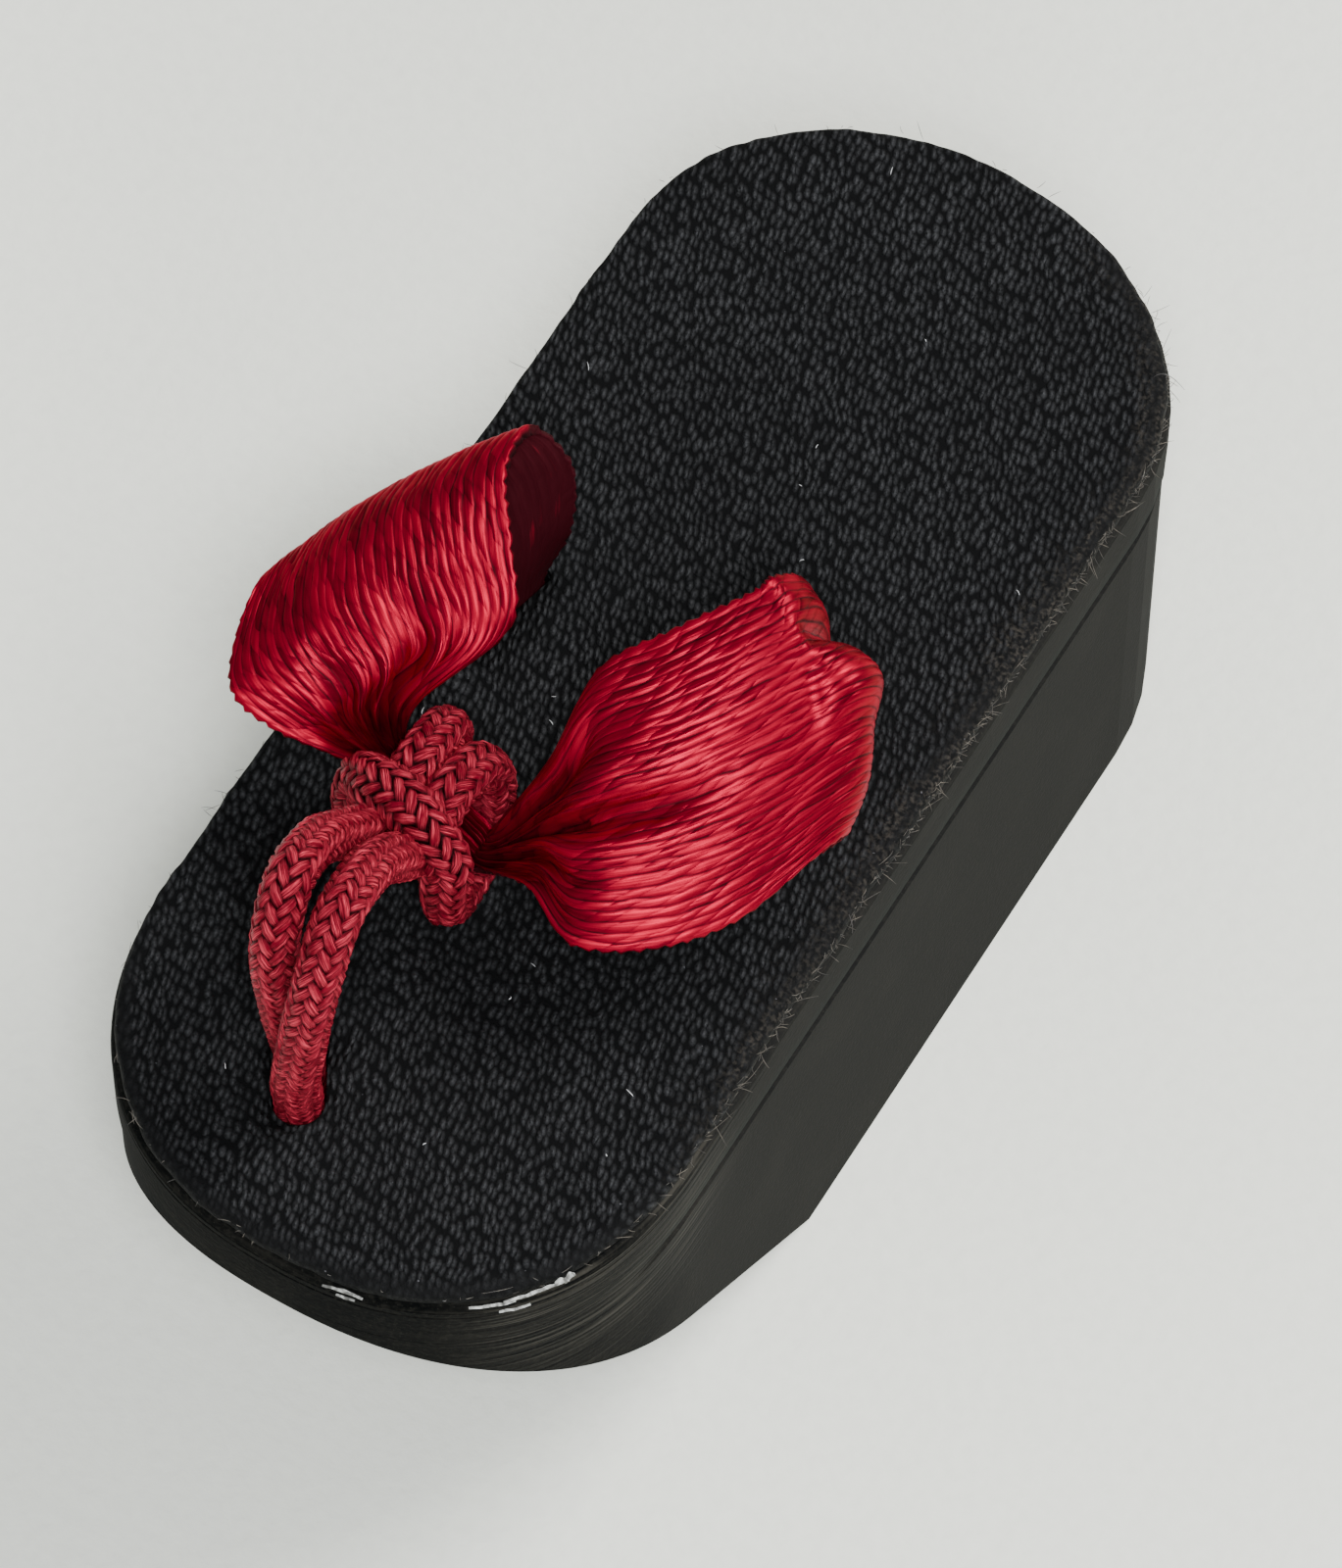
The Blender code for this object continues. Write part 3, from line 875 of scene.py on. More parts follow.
@dataclass
class SoleSizes:
    """Sizes that the sole and the cloth share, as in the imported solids."""

    length: float = 30.4
    width: float = 13.0
    deck_height: float = 12.0
    deck_thickness: float = 1.85
    deck_round: float = 0.15
    block_inset: float = 0.06
    groove_height: float = 0.46
    groove_depth: float = 0.34
    groove_fade: float = 5.0
    heel_arc: float = 5.5
    heel_roundness: float = 2.07
    toe_arc: float = 6.5
    toe_roundness: float = 2.3
    toe_lip: float = 2.1
    slope_run: float = 11.5
    cloth_bottom: float = 12.05
    cloth_top: float = 12.5
    cloth_inset: float = 0.10
    over_deck: float = 12.6
    under_cloth: float = 11.0
    over_cloth: float = 13.0
    toe_hole: Range = (-1.5, -11.55)
    toe_hole_floor: float = 9.4
    slot_floor: float = 9.9
    hole_long: float = 2.69
    hole_wide: float = 1.68
    opening_long: float = 2.22
    opening_wide: float = 1.16
    hole_turn: float = math.radians(-60)
    cloth_facets: int = 44
    cloth_fine: int = 6

    def cloth_outline(self, inset: Array | float) -> tuple[Array, Array]:
        """The outline with the cloth's finer facets."""
        return self.outline(inset, self.cloth_facets, self.cloth_fine)

    def outline(
        self, inset: Array | float, heel_facets: int = 22, fine: int = 8
    ) -> tuple[Array, Array]:
        """The outline from above, with flat facets at the heel and a smooth toe.

        Args:
            inset: How far in from the deck's edge, alone or for each point.
            heel_facets: Flats round the heel.
            fine: Points on each flat.

        Returns:
            The points, and how far round the outline each lies.
        """
        rows = []
        for side, arc, roundness, count in (
            (1, self.heel_arc, self.heel_roundness, heel_facets),
            (-1, self.toe_arc, self.toe_roundness, heel_facets * fine),
        ):
            angles = np.linspace(0, math.pi, count + 1)
            cosine = np.cos(angles)
            across = np.sign(cosine) * np.abs(cosine) ** (2 / roundness)
            along = np.abs(np.sin(angles)) ** (2 / roundness)
            start = np.full(count + 1, side * (self.length / 2 - arc))
            rows.append(np.stack([side * across, side * along, start, np.full(count + 1, arc)], 1))
        rows = np.vstack(rows)
        closed = np.vstack([rows, rows[:1]])
        gaps = np.abs(np.diff(closed[:, 1] * closed[:, 3] + closed[:, 2]))
        counts = np.where(np.arange(len(rows)) < heel_facets, fine, 1)
        counts[heel_facets] = counts[-1] = round(gaps[heel_facets] / OUTLINE_STEP)
        dense = []
        for here, after, count in zip(closed, closed[1:], counts):
            share = np.arange(count)[:, None] / count
            dense.append(here * (1 - share) + after * share)
        dense = np.vstack(dense)
        x = dense[:, 0] * (self.width / 2 - inset)
        y = dense[:, 2] + dense[:, 1] * np.maximum(dense[:, 3] - inset, 0.05)
        base = np.stack([x, y], 1)
        return base, along_line(np.vstack([base, base[:1]]))[:-1]


def stadium(
    centre: Sequence[float], turn: float, long: float, wide: float, steps: int = 12
) -> Array:
    """A slot's outline: two straight sides and two round ends.

    Args:
        centre: Its middle.
        turn: The direction of its length.
        long: Its length.
        wide: Its width.
        steps: Points round each end.

    Returns:
        Its points.
    """
    along = np.array([math.cos(turn), math.sin(turn)])
    across = np.array([-along[1], along[0]])
    angles = np.linspace(-math.pi / 2, math.pi / 2, steps + 1)
    ends = []
    for side in (1, -1):
        round_end = along * np.cos(angles)[:, None] + across * np.sin(angles)[:, None]
        ends.append(np.array(centre) + side * (along * (long - wide) / 2 + round_end * wide / 2))
    return np.vstack(ends)


@dataclass
class SoleBlock:
    """The printed platform, sloped at the toe, with its groove and pockets."""

    sizes: SoleSizes
    slots: Sequence[Array]
    finish: PrintedPlastic = PrintedPlastic()
    wall_step: float = 0.5
    deck_step: float = 0.3
    toe_line_depth: float = 0.035

    def groove(self, y: Array) -> Array:
        """How far the groove goes in behind the wall, fading out towards the toe."""
        share = (y - self.sizes.toe_arc + self.sizes.length / 2) / self.sizes.groove_fade
        return (self.sizes.groove_depth - self.sizes.block_inset) * soft_step(-0.5, 0.5, share)

    def profile(self, y: Array) -> list[tuple[float, Array | float]]:
        """The side from the floor to the deck's top, with two fine lines round the toe.

        Args:
            y: Where each point of the outline lies along the shoe.

        Returns:
            Pairs of height and inset from the deck's edge.
        """
        sizes = self.sizes
        wall, edge, top = sizes.block_inset, sizes.deck_round, sizes.deck_height
        lip = top - sizes.deck_thickness
        low = lip - sizes.groove_height
        groove = self.groove(y)
        line = soft_step(-4.0, -11.0, y) * self.toe_line_depth
        return [
            (0.0, wall + 0.10),
            (0.03, wall + 0.03),
            *((height, wall) for height in (0.10, *np.arange(0.5, low, self.wall_step), low)),
            (low + 0.03, wall + groove * 0.8),
            (low + 0.06, wall + groove),
            (lip - 0.05, wall + groove),
            (lip - 0.02, wall + groove * 0.5),
            (lip, edge * 0.8),
            (lip + 0.04, edge * 0.35),
            (lip + edge, 0.0),
            *((height, 0.0) for height in np.arange(lip + 0.5, top - 0.55, self.deck_step)),
            (top - 0.50, 0.0),
            (top - 0.46, line),
            (top - 0.42, 0.0),
            (top - 0.26, 0.0),
            (top - 0.22, line),
            (top - 0.18, 0.0),
            (top - edge * 0.6, 0.03),
            (top - edge * 0.2, 0.08),
            (top, edge),
        ]

    def build(self) -> bpy.types.Object:
        """Make the platform.

        Returns:
            The piece, as one mesh.
        """
        sizes = self.sizes
        y = sizes.outline(0.0)[0][:, 1]
        rings = [
            np.column_stack([sizes.outline(inset)[0], np.full(len(y), height)])
            for height, inset in self.profile(y)
        ]
        faces = tube_faces(len(rings), len(y))
        material = self.finish.material()
        piece = new_piece("sole_platform", np.vstack(rings), faces, material, smooth=False)
        self.slope(piece)
        toe = stadium(sizes.toe_hole, sizes.hole_turn, sizes.hole_long, sizes.hole_wide)
        cutters = [pocket(toe, sizes.toe_hole_floor, sizes.over_deck)]
        cutters += [pocket(slot, sizes.slot_floor, sizes.over_deck) for slot in self.slots]
        cut_out(piece, cutters)
        return carried(piece, "sole_plastic", "sole_block")

    def slope(self, piece: bpy.types.Object) -> None:
        """Take off the toe's underside along one flat slope.

        Args:
            piece: The platform.
        """
        sizes = self.sizes
        tip = sizes.deck_height - sizes.toe_lip
        away = Vector((0.0, -tip, -sizes.slope_run)).normalized()
        bm = bmesh.new()
        bm.from_mesh(piece.data)
        cut = bmesh.ops.bisect_plane(
            bm,
            geom=[*bm.verts, *bm.edges, *bm.faces],
            plane_co=Vector((0.0, -sizes.length / 2, tip)) * MM,
            plane_no=away,
            clear_outer=True,
        )
        rim = [item for item in cut["geom_cut"] if isinstance(item, bmesh.types.BMEdge)]
        bmesh.ops.contextual_create(bm, geom=rim)
        bmesh.ops.recalc_face_normals(bm, faces=bm.faces)
        bm.to_mesh(piece.data)
        bm.free()


def pocket(outline: Array, low: float, high: float) -> bpy.types.Object:
    """A plain prism that cuts a hole.

    Args:
        outline: The hole's outline.
        low: Its lowest height.
        high: The prism's top, over the surface that it cuts.

    Returns:
        The prism.
    """
    count = len(outline)
    points = np.vstack([
        np.column_stack([outline, np.full(count, height)]) for height in (low, high)
    ])
    mesh = bpy.data.meshes.new("pocket")
    mesh.from_pydata((points * MM).tolist(), [], tube_faces(2, count))
    piece = bpy.data.objects.new("pocket", mesh)
    bpy.context.scene.collection.objects.link(piece)
    return piece


def cut_out(piece: bpy.types.Object, cutters: Sequence[bpy.types.Object]) -> None:
    """Cut holes out of a piece.

    Args:
        piece: The piece.
        cutters: The prisms that cut it, which are removed.
    """
    for cutter in cutters:
        modifier = piece.modifiers.new(cutter.name, "BOOLEAN")
        modifier.operation = "DIFFERENCE"
        modifier.solver = "EXACT"
        modifier.object = cutter
    applied(piece)
    for cutter in cutters:
        bpy.data.objects.remove(cutter)


@dataclass
class InsoleCloth:
    """The cloth pad, with its rounded, pressed and frayed edge.

    lower_edge gives heights over its bottom and upper_edge depths under its top, each with
    the inset there. top_insets are the rings on its top.
    """

    sizes: SoleSizes
    slots: Sequence[Array]
    finish: BlackTwill = BlackTwill()
    seed: int = 4
    toe_sink: float = 0.10
    lower_edge: tuple[Range, ...] = ((-0.045, 0.10), (0.0, 0.02), (0.14, 0.0), (0.27, 0.02))
    upper_edge: tuple[Range, ...] = ((0.09, 0.07), (0.035, 0.15), (0.008, 0.26))
    top_insets: tuple[float, ...] = (0.42, 0.7, 1.1, 1.7, 2.6, 3.8, 5.1, 6.0)

    def build(self) -> bpy.types.Object:
        """Make the pad.

        Returns:
            The piece, as one mesh.
        """
        sizes = self.sizes
        bottom, top = sizes.cloth_bottom, sizes.cloth_top
        rng = np.random.default_rng(self.seed)
        plan, way = sizes.cloth_outline(0.0)
        ripple = smooth_noise(rng, way, 0.9) * 0.03 + smooth_noise(rng, way, 0.3) * 0.018
        toe = soft_step(-7.5, -12.5, plan[:, 1])
        outer = soft_step(2.0, 4.0, plan[:, 0]) * soft_step(-11.0, -5.0, plan[:, 1])
        levels = [(bottom + rise, inset) for rise, inset in self.lower_edge]
        levels += [(top - depth, inset) for depth, inset in self.upper_edge]
        levels += [(top, inset) for inset in self.top_insets]
        rings, press, fray = [], [], []
        for height, inset in levels:
            margin = np.full(len(plan), inset)
            sunk = toe * soft_step(1.2, 0.2, margin) * self.toe_sink
            lift = (height - bottom) / (top - bottom)
            edge = sizes.cloth_inset + inset + ripple * soft_step(0.6, 0.0, margin)
            ring, _ = sizes.cloth_outline(edge)
            swell = smooth_noise(rng, way, 2.4) * 0.015 * (inset > 0.3)
            rings.append(np.column_stack([ring, height - sunk * lift + swell]))
            at_toe = toe * soft_step(0.42, 0.2, margin)
            press.append(np.maximum(at_toe, outer * soft_step(0.7, 0.25, margin)))
            wear_and_glint = 0.6 + smooth_noise(rng, way, 1.6)
            fray.append(outer * soft_step(0.9, 0.2, margin) * wear_and_glint)
        tracks = {
            "press": np.clip(np.concatenate(press), 0, 1),
            "fray": np.clip(np.concatenate(fray), 0, 1),
        }
        faces = tube_faces(len(rings), len(plan))
        piece = new_piece("insole_pad", np.vstack(rings), faces, self.finish.material(), tracks)
        toe_opening = stadium(
            sizes.toe_hole, sizes.hole_turn, sizes.opening_long, sizes.opening_wide
        )
        holes = (toe_opening, *self.slots)
        cut_out(piece, [pocket(hole, sizes.under_cloth, sizes.over_cloth) for hole in holes])
        return carried(piece, "insole_fabric", "insole_cloth")


# The ribbon


class Section(NamedTuple):
    """One section across the ribbon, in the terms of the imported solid.

    x goes out from the gathered part as a share of the way to the sole's side, y back from
    the knot as a share of the sole's half width, and z up from the cloth as a share of the
    loops' rise. The width runs from the back selvedge to the front one and the crown is how
    far the middle stands out, as shares of the ribbon's width.
    """

    x: float
    y: float
    z: float
    width_x: float
    width_y: float
    width_z: float
    crown_x: float
    crown_y: float
    crown_z: float


class Fold(NamedTuple):
    """A soft trough that runs out from the knot along a loop.

    across is its place between the selvedges, from -0.5 to 0.5. spread is its half width as
    a share of the ribbon's, depth is in millimetres, start and reach count sections, and
    turn moves it sideways as it runs.
    """

    across: float
    spread: float
    depth: float
    reach: float
    start: float = 0.0
    turn: float = 0.0


class Side(Enum):
    """The two loops of the ribbon."""

    LEFT = -1
    RIGHT = 1


RIGHT_LOOP = (
    Section(0.167, -0.00, 0.57, 0.14, -0.38, -0.17, 0.01, -0.01, 0.04),
    Section(0.271, 0.07, 0.66, 0.34, -0.72, -0.39, 0.02, -0.03, 0.08),
    Section(0.451, 0.23, 0.71, 0.42, -0.81, -0.47, 0.05, 0.00, 0.09),
    Section(0.612, 0.45, 0.75, 0.45, -0.80, -0.50, 0.09, 0.08, 0.08),
    Section(0.686, 0.67, 0.78, 0.54, -0.55, -0.42, 0.13, 0.11, 0.00),
    Section(0.698, 0.78, 0.60, 0.47, -0.54, -0.42, 0.10, 0.08, -0.04),
    Section(0.666, 0.75, 0.32, 0.30, -0.60, -0.24, 0.06, 0.04, 0.00),
    Section(0.621, 0.71, 0.00, 0.16, -0.65, 0.00, 0.00, 0.00, 0.00),
)
LEFT_LOOP = (
    Section(0.067, 0.05, 0.51, -0.18, -0.31, -0.06, 0.00, 0.00, 0.05),
    Section(0.047, 0.16, 0.62, -0.50, -0.64, -0.16, -0.02, 0.00, 0.09),
    Section(0.386, 0.29, 0.67, -0.53, -0.87, -0.14, -0.05, 0.00, 0.10),
    Section(0.640, 0.49, 0.69, -0.47, -0.90, -0.11, -0.06, 0.02, 0.05),
    Section(0.704, 0.71, 0.65, -0.47, -0.89, -0.06, -0.06, 0.01, 0.00),
    Section(0.513, 0.76, 0.49, -0.55, -0.83, -0.09, -0.10, 0.01, 0.00),
    Section(0.279, 0.73, 0.25, -0.40, -0.74, -0.08, -0.05, 0.01, 0.00),
    Section(0.152, 0.69, 0.00, -0.16, -0.65, 0.00, 0.00, 0.00, 0.00),
)
FOLDS = {
    Side.RIGHT: (
        Fold(across=0.06, spread=0.060, depth=0.85, reach=3.6),
        Fold(across=-0.24, spread=0.070, depth=0.50, reach=2.7),
        Fold(across=0.30, spread=0.055, depth=0.24, reach=2.3),
        Fold(across=-0.10, spread=0.045, depth=0.16, reach=2.2),
        Fold(across=-0.29, spread=0.055, depth=0.50, reach=2.4, start=4.5),
        Fold(across=-0.08, spread=0.110, depth=-0.45, reach=2.6, start=4.4),
    ),
    Side.LEFT: (
        Fold(across=-0.12, spread=0.060, depth=0.62, reach=2.9),
        Fold(across=0.20, spread=0.060, depth=0.50, reach=2.9),
        Fold(across=0.36, spread=0.045, depth=0.22, reach=2.5),
        Fold(across=-0.33, spread=0.045, depth=0.20, reach=2.4),
        Fold(across=0.04, spread=0.040, depth=0.18, reach=2.2),
    ),
}


@dataclass
class RibbonStrap:
    """The ribbon: a loop to each side of its gathered middle, with ribs and pleats.

    rib_stray and waver give the swings along and across it of two random sways.
    """

    sizes: SoleSizes
    knot: Array
    axis: Array
    width: float = 6.4
    thickness: float = 0.22
    gather_width: float = 0.9
    gather_half_length: float = 1.534
    loop_rise: float = 6.5
    slot_depth: float = 2.1
    slot_width: float = 0.3
    clearance: float = 0.3
    snug: float = 0.05
    ribs: int = 30
    rib_points: int = 5
    rib_height: float = 0.032
    row_spacing: float = 0.125
    pleats: int = 7
    pleat_share: float = 0.62
    slub_length: float = 1.25
    rib_stray: tuple[tuple[int, int], ...] = ((34, 12), (80, 30))
    waver: tuple[int, int] = (26, 5)
    waver_depth: float = 0.05
    selvedge: float = 0.485
    nibble_length: float = 0.34
    nibble_depth: float = 0.045
    seed: int = 11
    finish: CrimsonSatin = CrimsonSatin()

    def forms(self, section: Section, side: Side) -> Array:
        """One section in millimetres.

        Args:
            section: The section.
            side: The loop that it belongs to.

        Returns:
            Its middle, its width and its crown.
        """
        half = self.sizes.width / 2
        start = self.knot[0] + side.value * self.gather_half_length
        middle = (
            start + side.value * section.x * (half - side.value * start),
            self.knot[1] + section.y * half,
            self.sizes.cloth_top + section.z * self.loop_rise,
        )
        shares = np.array(section[3:]).reshape(2, 3) * self.width
        return np.vstack([[middle], shares])

    def rows(self) -> tuple[Array, Array]:
        """All sections from the left tail to the right one.

        Returns:
            The sections, and how many sections each lies from the knot, less than 0 on the left.
        """
        sections, places = [], []
        for share in (-1.0, -0.7, 0.0, 0.7, 1.0):
            middle = self.knot + self.axis * share * self.gather_half_length
            sections.append(np.vstack([[middle], [(0, -self.gather_width, 0)], [(0, 0, 0)]]))
            places.append(0.0)
        for side, loop in ((Side.LEFT, LEFT_LOOP), (Side.RIGHT, RIGHT_LOOP)):
            near = [self.forms(section, side) for section in loop]
            tail = near[-1].copy()
            tail[0, 2] = self.sizes.deck_height - self.slot_depth + self.clearance
            near.append(tail)
            numbers = [side.value * (index + 1.0) for index in range(len(near))]
            if side is Side.LEFT:
                sections, places = near[::-1] + sections, numbers[::-1] + places
            else:
                sections, places = sections + near, places + numbers
        return np.array(sections), np.array(places)

    def slot_outline(self, side: Side, clearance: float) -> Array:
        """The outline of the slot that one tail goes into.

        Args:
            side: The tail's loop.
            clearance: The room left all round it.

        Returns:
            The outline's points.
        """
        loop = LEFT_LOOP if side is Side.LEFT else RIGHT_LOOP
        middle, width, _ = self.forms(loop[-1], side)
        wide = self.slot_width + 2 * clearance
        turn = math.atan2(width[1], width[0])
        return stadium(middle[:2], turn, np.linalg.norm(width) + wide, wide)

    def trough(self, place: Array, across: Array) -> Array:
        """How deep the folds sink the ribbon.

        Args:
            place: How many sections each row lies from the knot.
            across: Where each column lies between the selvedges.

        Returns:
            The depth in millimetres at each point.
        """
        depth = np.zeros(np.broadcast(place, across).shape)
        for side, folds in FOLDS.items():
            for fold in folds:
                share = np.clip((place * side.value - fold.start) / fold.reach, 0, 1)
                swell = np.sin(math.pi * share**0.6)
                middle = fold.across + fold.turn * share
                depth += fold.depth * swell * np.exp(-(((across - middle) / fold.spread) ** 2))
        return depth

    def smooth_forms(self) -> tuple[Array, Array]:
        """The sections at an even spacing.

        Returns:
            Middle, width and crown of each row, and how many sections it lies from the knot.
        """
        sections, places = self.rows()
        padded = np.concatenate([sections[:1], sections, sections[-1:]])
        at, fine = refined(padded, RIBBON_STEPS)
        spots = even_places(fine[:, 0], self.row_spacing)
        numbers = np.arange(len(fine))
        flat = fine.reshape(len(fine), -1)
        forms = np.stack([np.interp(spots, numbers, column) for column in flat.T], 1)
        place = np.interp(spots, numbers, np.interp(at, np.arange(len(places)), places))
        return forms.reshape(-1, 3, 3), place

    def relief(
        self, place: Array, across: Array, along: Array, spread: Array
    ) -> tuple[Array, Array]:
        """Pleats near the knot, ribs with their slubs, and a slow waver.

        Args:
            place: How many sections each row lies from the knot.
            across: Where each column lies between the selvedges.
            along: How far along the ribbon each row lies.
            spread: How wide each row is.

        Returns:
            The height in millimetres at each point, and the rib that the point lies on, whose
            whole number is the rib and whose part is the way across it.
        """
        rng = np.random.default_rng(self.seed)
        excess = np.sqrt(np.maximum((self.width / spread) ** 2 - 1, 0))
        swing = spread / (4 * self.pleats) * excess
        near = soft_step(3.4, 0.6, np.abs(place))
        warped = across + 0.035 * np.sin(across * 11 + 1.0) + 0.02 * np.sin(across * 23)
        pleat = np.sin(math.tau * self.pleats * warped)[None, :]
        pleat = pleat * (swing * near * self.pleat_share)[:, None]
        shape = (len(place), len(across))
        wide, narrow = (smooth_grid(rng, shape, *swings) for swings in self.rib_stray)
        calm = soft_step(0.5, 0.47, np.abs(across))[None, :]
        rib = (across * self.ribs)[None, :] + (0.30 * wide + 0.20 * narrow) * calm + self.ribs
        crown = np.sqrt(np.maximum(1 - (np.abs((rib % 1.0) - 0.5) * 2) ** 2, 0))
        luck = rng.uniform(0, 1, 2 * self.ribs + 2)[np.floor(rib).astype(int)]
        turns = along[:, None] / self.slub_length + luck * 7 + (rib % 1.0) * 0.5
        lively = np.clip(spread / self.width, 0.35, 1)[:, None]
        swell = 0.85 + 0.3 * luck + 0.25 * np.sin(math.tau * turns)
        ribs = self.rib_height * lively * crown * swell
        waver = self.waver_depth * smooth_grid(rng, shape, *self.waver)
        return pleat + ribs - self.rib_height + waver, rib

    def build(self) -> bpy.types.Object:
        """Make the ribbon.

        Returns:
            The piece, as one mesh with ribs, pleats and folds.
        """
        forms, place = self.smooth_forms()
        across = np.linspace(-0.5, 0.5, self.ribs * self.rib_points + 1)
        sheet = (
            forms[:, None, 0]
            + forms[:, None, 1] * across[None, :, None]
            + forms[:, None, 2] * (1 - 4 * across**2)[None, :, None]
        )
        sideways = np.gradient(sheet, axis=1)
        normal = unit(np.cross(sideways, np.gradient(sheet, axis=0)))
        along = along_line(forms[:, 0])
        spread = np.linalg.norm(np.diff(sheet, axis=1), axis=2).sum(axis=1)
        trough = self.trough(place[:, None], across[None, :])
        height, rib = self.relief(place, across, along, spread)
        edge = np.maximum(0, (np.abs(across) - self.selvedge) / (0.5 - self.selvedge))
        nibble = self.nibble_depth * np.sin(along / self.nibble_length * math.tau)
        outward = unit(np.sign(across)[None, :, None] * sideways)
        sheet = sheet + normal * (height - trough)[:, :, None]
        sheet = sheet + outward * (nibble[:, None] * edge[None, :])[:, :, None]
        # deep marks the folds and the gather by the knot, where the finish paints shade.
        deep = soft_step(0.12, 0.55, trough) + soft_step(1.3, 0.3, np.abs(place))[:, None] * 0.3
        rows, columns = deep.shape
        tracks = {
            "along": np.tile(np.repeat(along, columns), 2),
            "across": np.tile(across * self.width, 2 * rows),
            "rib": np.tile(rib.ravel(), 2),
            "deep": np.tile(np.clip(deep, 0, 1).ravel(), 2),
            # inner marks the underside, which the finish paints in shade.
            "inner": np.repeat([0.0, 1.0], rows * columns),
        }
        half = normal * self.thickness / 2
        points = np.concatenate([sheet + half, sheet - half]).reshape(-1, 3)
        faces = shell_faces(rows, columns)
        piece = new_piece("ribbon_loops", points, faces, self.finish.material(), tracks)
        return carried(piece, "ribbon_satin", "ribbon_strap")


def shell_faces(rows: int, columns: int) -> list[tuple]:
    """Faces of two equal grids, one over the other, closed at their edges.

    Args:
        rows: How many rows each grid has.
        columns: How many points in each row.

    Returns:
        Faces with four corners.
    """
    count = rows * columns
    top = grid_faces(rows, columns)
    faces = [*top, *(tuple(reversed([index + count for index in face])) for face in top)]
    numbers = np.arange(count).reshape(rows, columns)
    rim = [*numbers[0, :-1], *numbers[:-1, -1], *numbers[-1, :0:-1], *numbers[:0:-1, 0]]
    for here, after in zip(rim, [*rim[1:], rim[0]]):
        faces.append((int(after), int(here), int(here) + count, int(after) + count))
    return faces


def smooth_grid(
    rng: np.random.Generator, shape: tuple[int, int], rows: int, columns: int
) -> Array:
    """Smooth random values between -1 and 1 over a grid.

    Args:
        rng: Where the random numbers come from.
        shape: The grid's size.
        rows: Swings along it.
        columns: Swings across it.

    Returns:
        One value for each point.
    """
    coarse = rng.uniform(-1, 1, (rows + 1, columns + 1))
    down = np.linspace(0, rows, shape[0])
    over = np.linspace(0, columns, shape[1])
    tall = np.stack([np.interp(down, np.arange(rows + 1), column) for column in coarse.T], 1)
    return np.stack([np.interp(over, np.arange(columns + 1), line) for line in tall])


# The cord


class Leg(NamedTuple):
    """One point of the cord legs between the toe hole and the knot, as in the solids."""

    run: float
    rise: float
    lean: float
    apart: float
    twist: float


class Turn(NamedTuple):
    """One point of a cord on its way round the gathered ribbon, as in the solids."""

    angle: float
    out: float
    aside: float


LEGS = (
    Leg(run=0.000, rise=0.00, lean=0.00, apart=0.98, twist=60),
    Leg(run=-0.045, rise=0.24, lean=-0.30, apart=1.00, twist=56),
    Leg(run=-0.075, rise=0.55, lean=-0.60, apart=1.14, twist=40),
    Leg(run=-0.020, rise=0.86, lean=-0.40, apart=1.24, twist=18),
    Leg(run=0.165, rise=1.02, lean=0.20, apart=1.26, twist=6),
    Leg(run=0.375, rise=0.93, lean=0.70, apart=1.22, twist=0),
    Leg(run=0.530, rise=0.74, lean=1.00, apart=1.10, twist=0),
)
LEG_TURNS = (
    Turn(angle=150, out=0.40, aside=0.36),
    Turn(angle=122, out=0.02, aside=0.36),
    Turn(angle=90, out=0.00, aside=0.36),
    Turn(angle=45, out=0.00, aside=0.40),
    Turn(angle=0, out=0.00, aside=0.50),
    Turn(angle=-45, out=0.00, aside=0.64),
    Turn(angle=-90, out=0.00, aside=0.80),
    Turn(angle=-135, out=0.08, aside=0.92),
    Turn(angle=-170, out=0.20, aside=1.00),
)
BAR_TURNS = (
    Turn(angle=-160, out=0.15, aside=1.00),
    Turn(angle=165, out=0.20, aside=1.02),
    Turn(angle=138, out=0.42, aside=0.96),
    Turn(angle=127, out=0.90, aside=0.56),
    Turn(angle=123, out=1.00, aside=0.00),
)


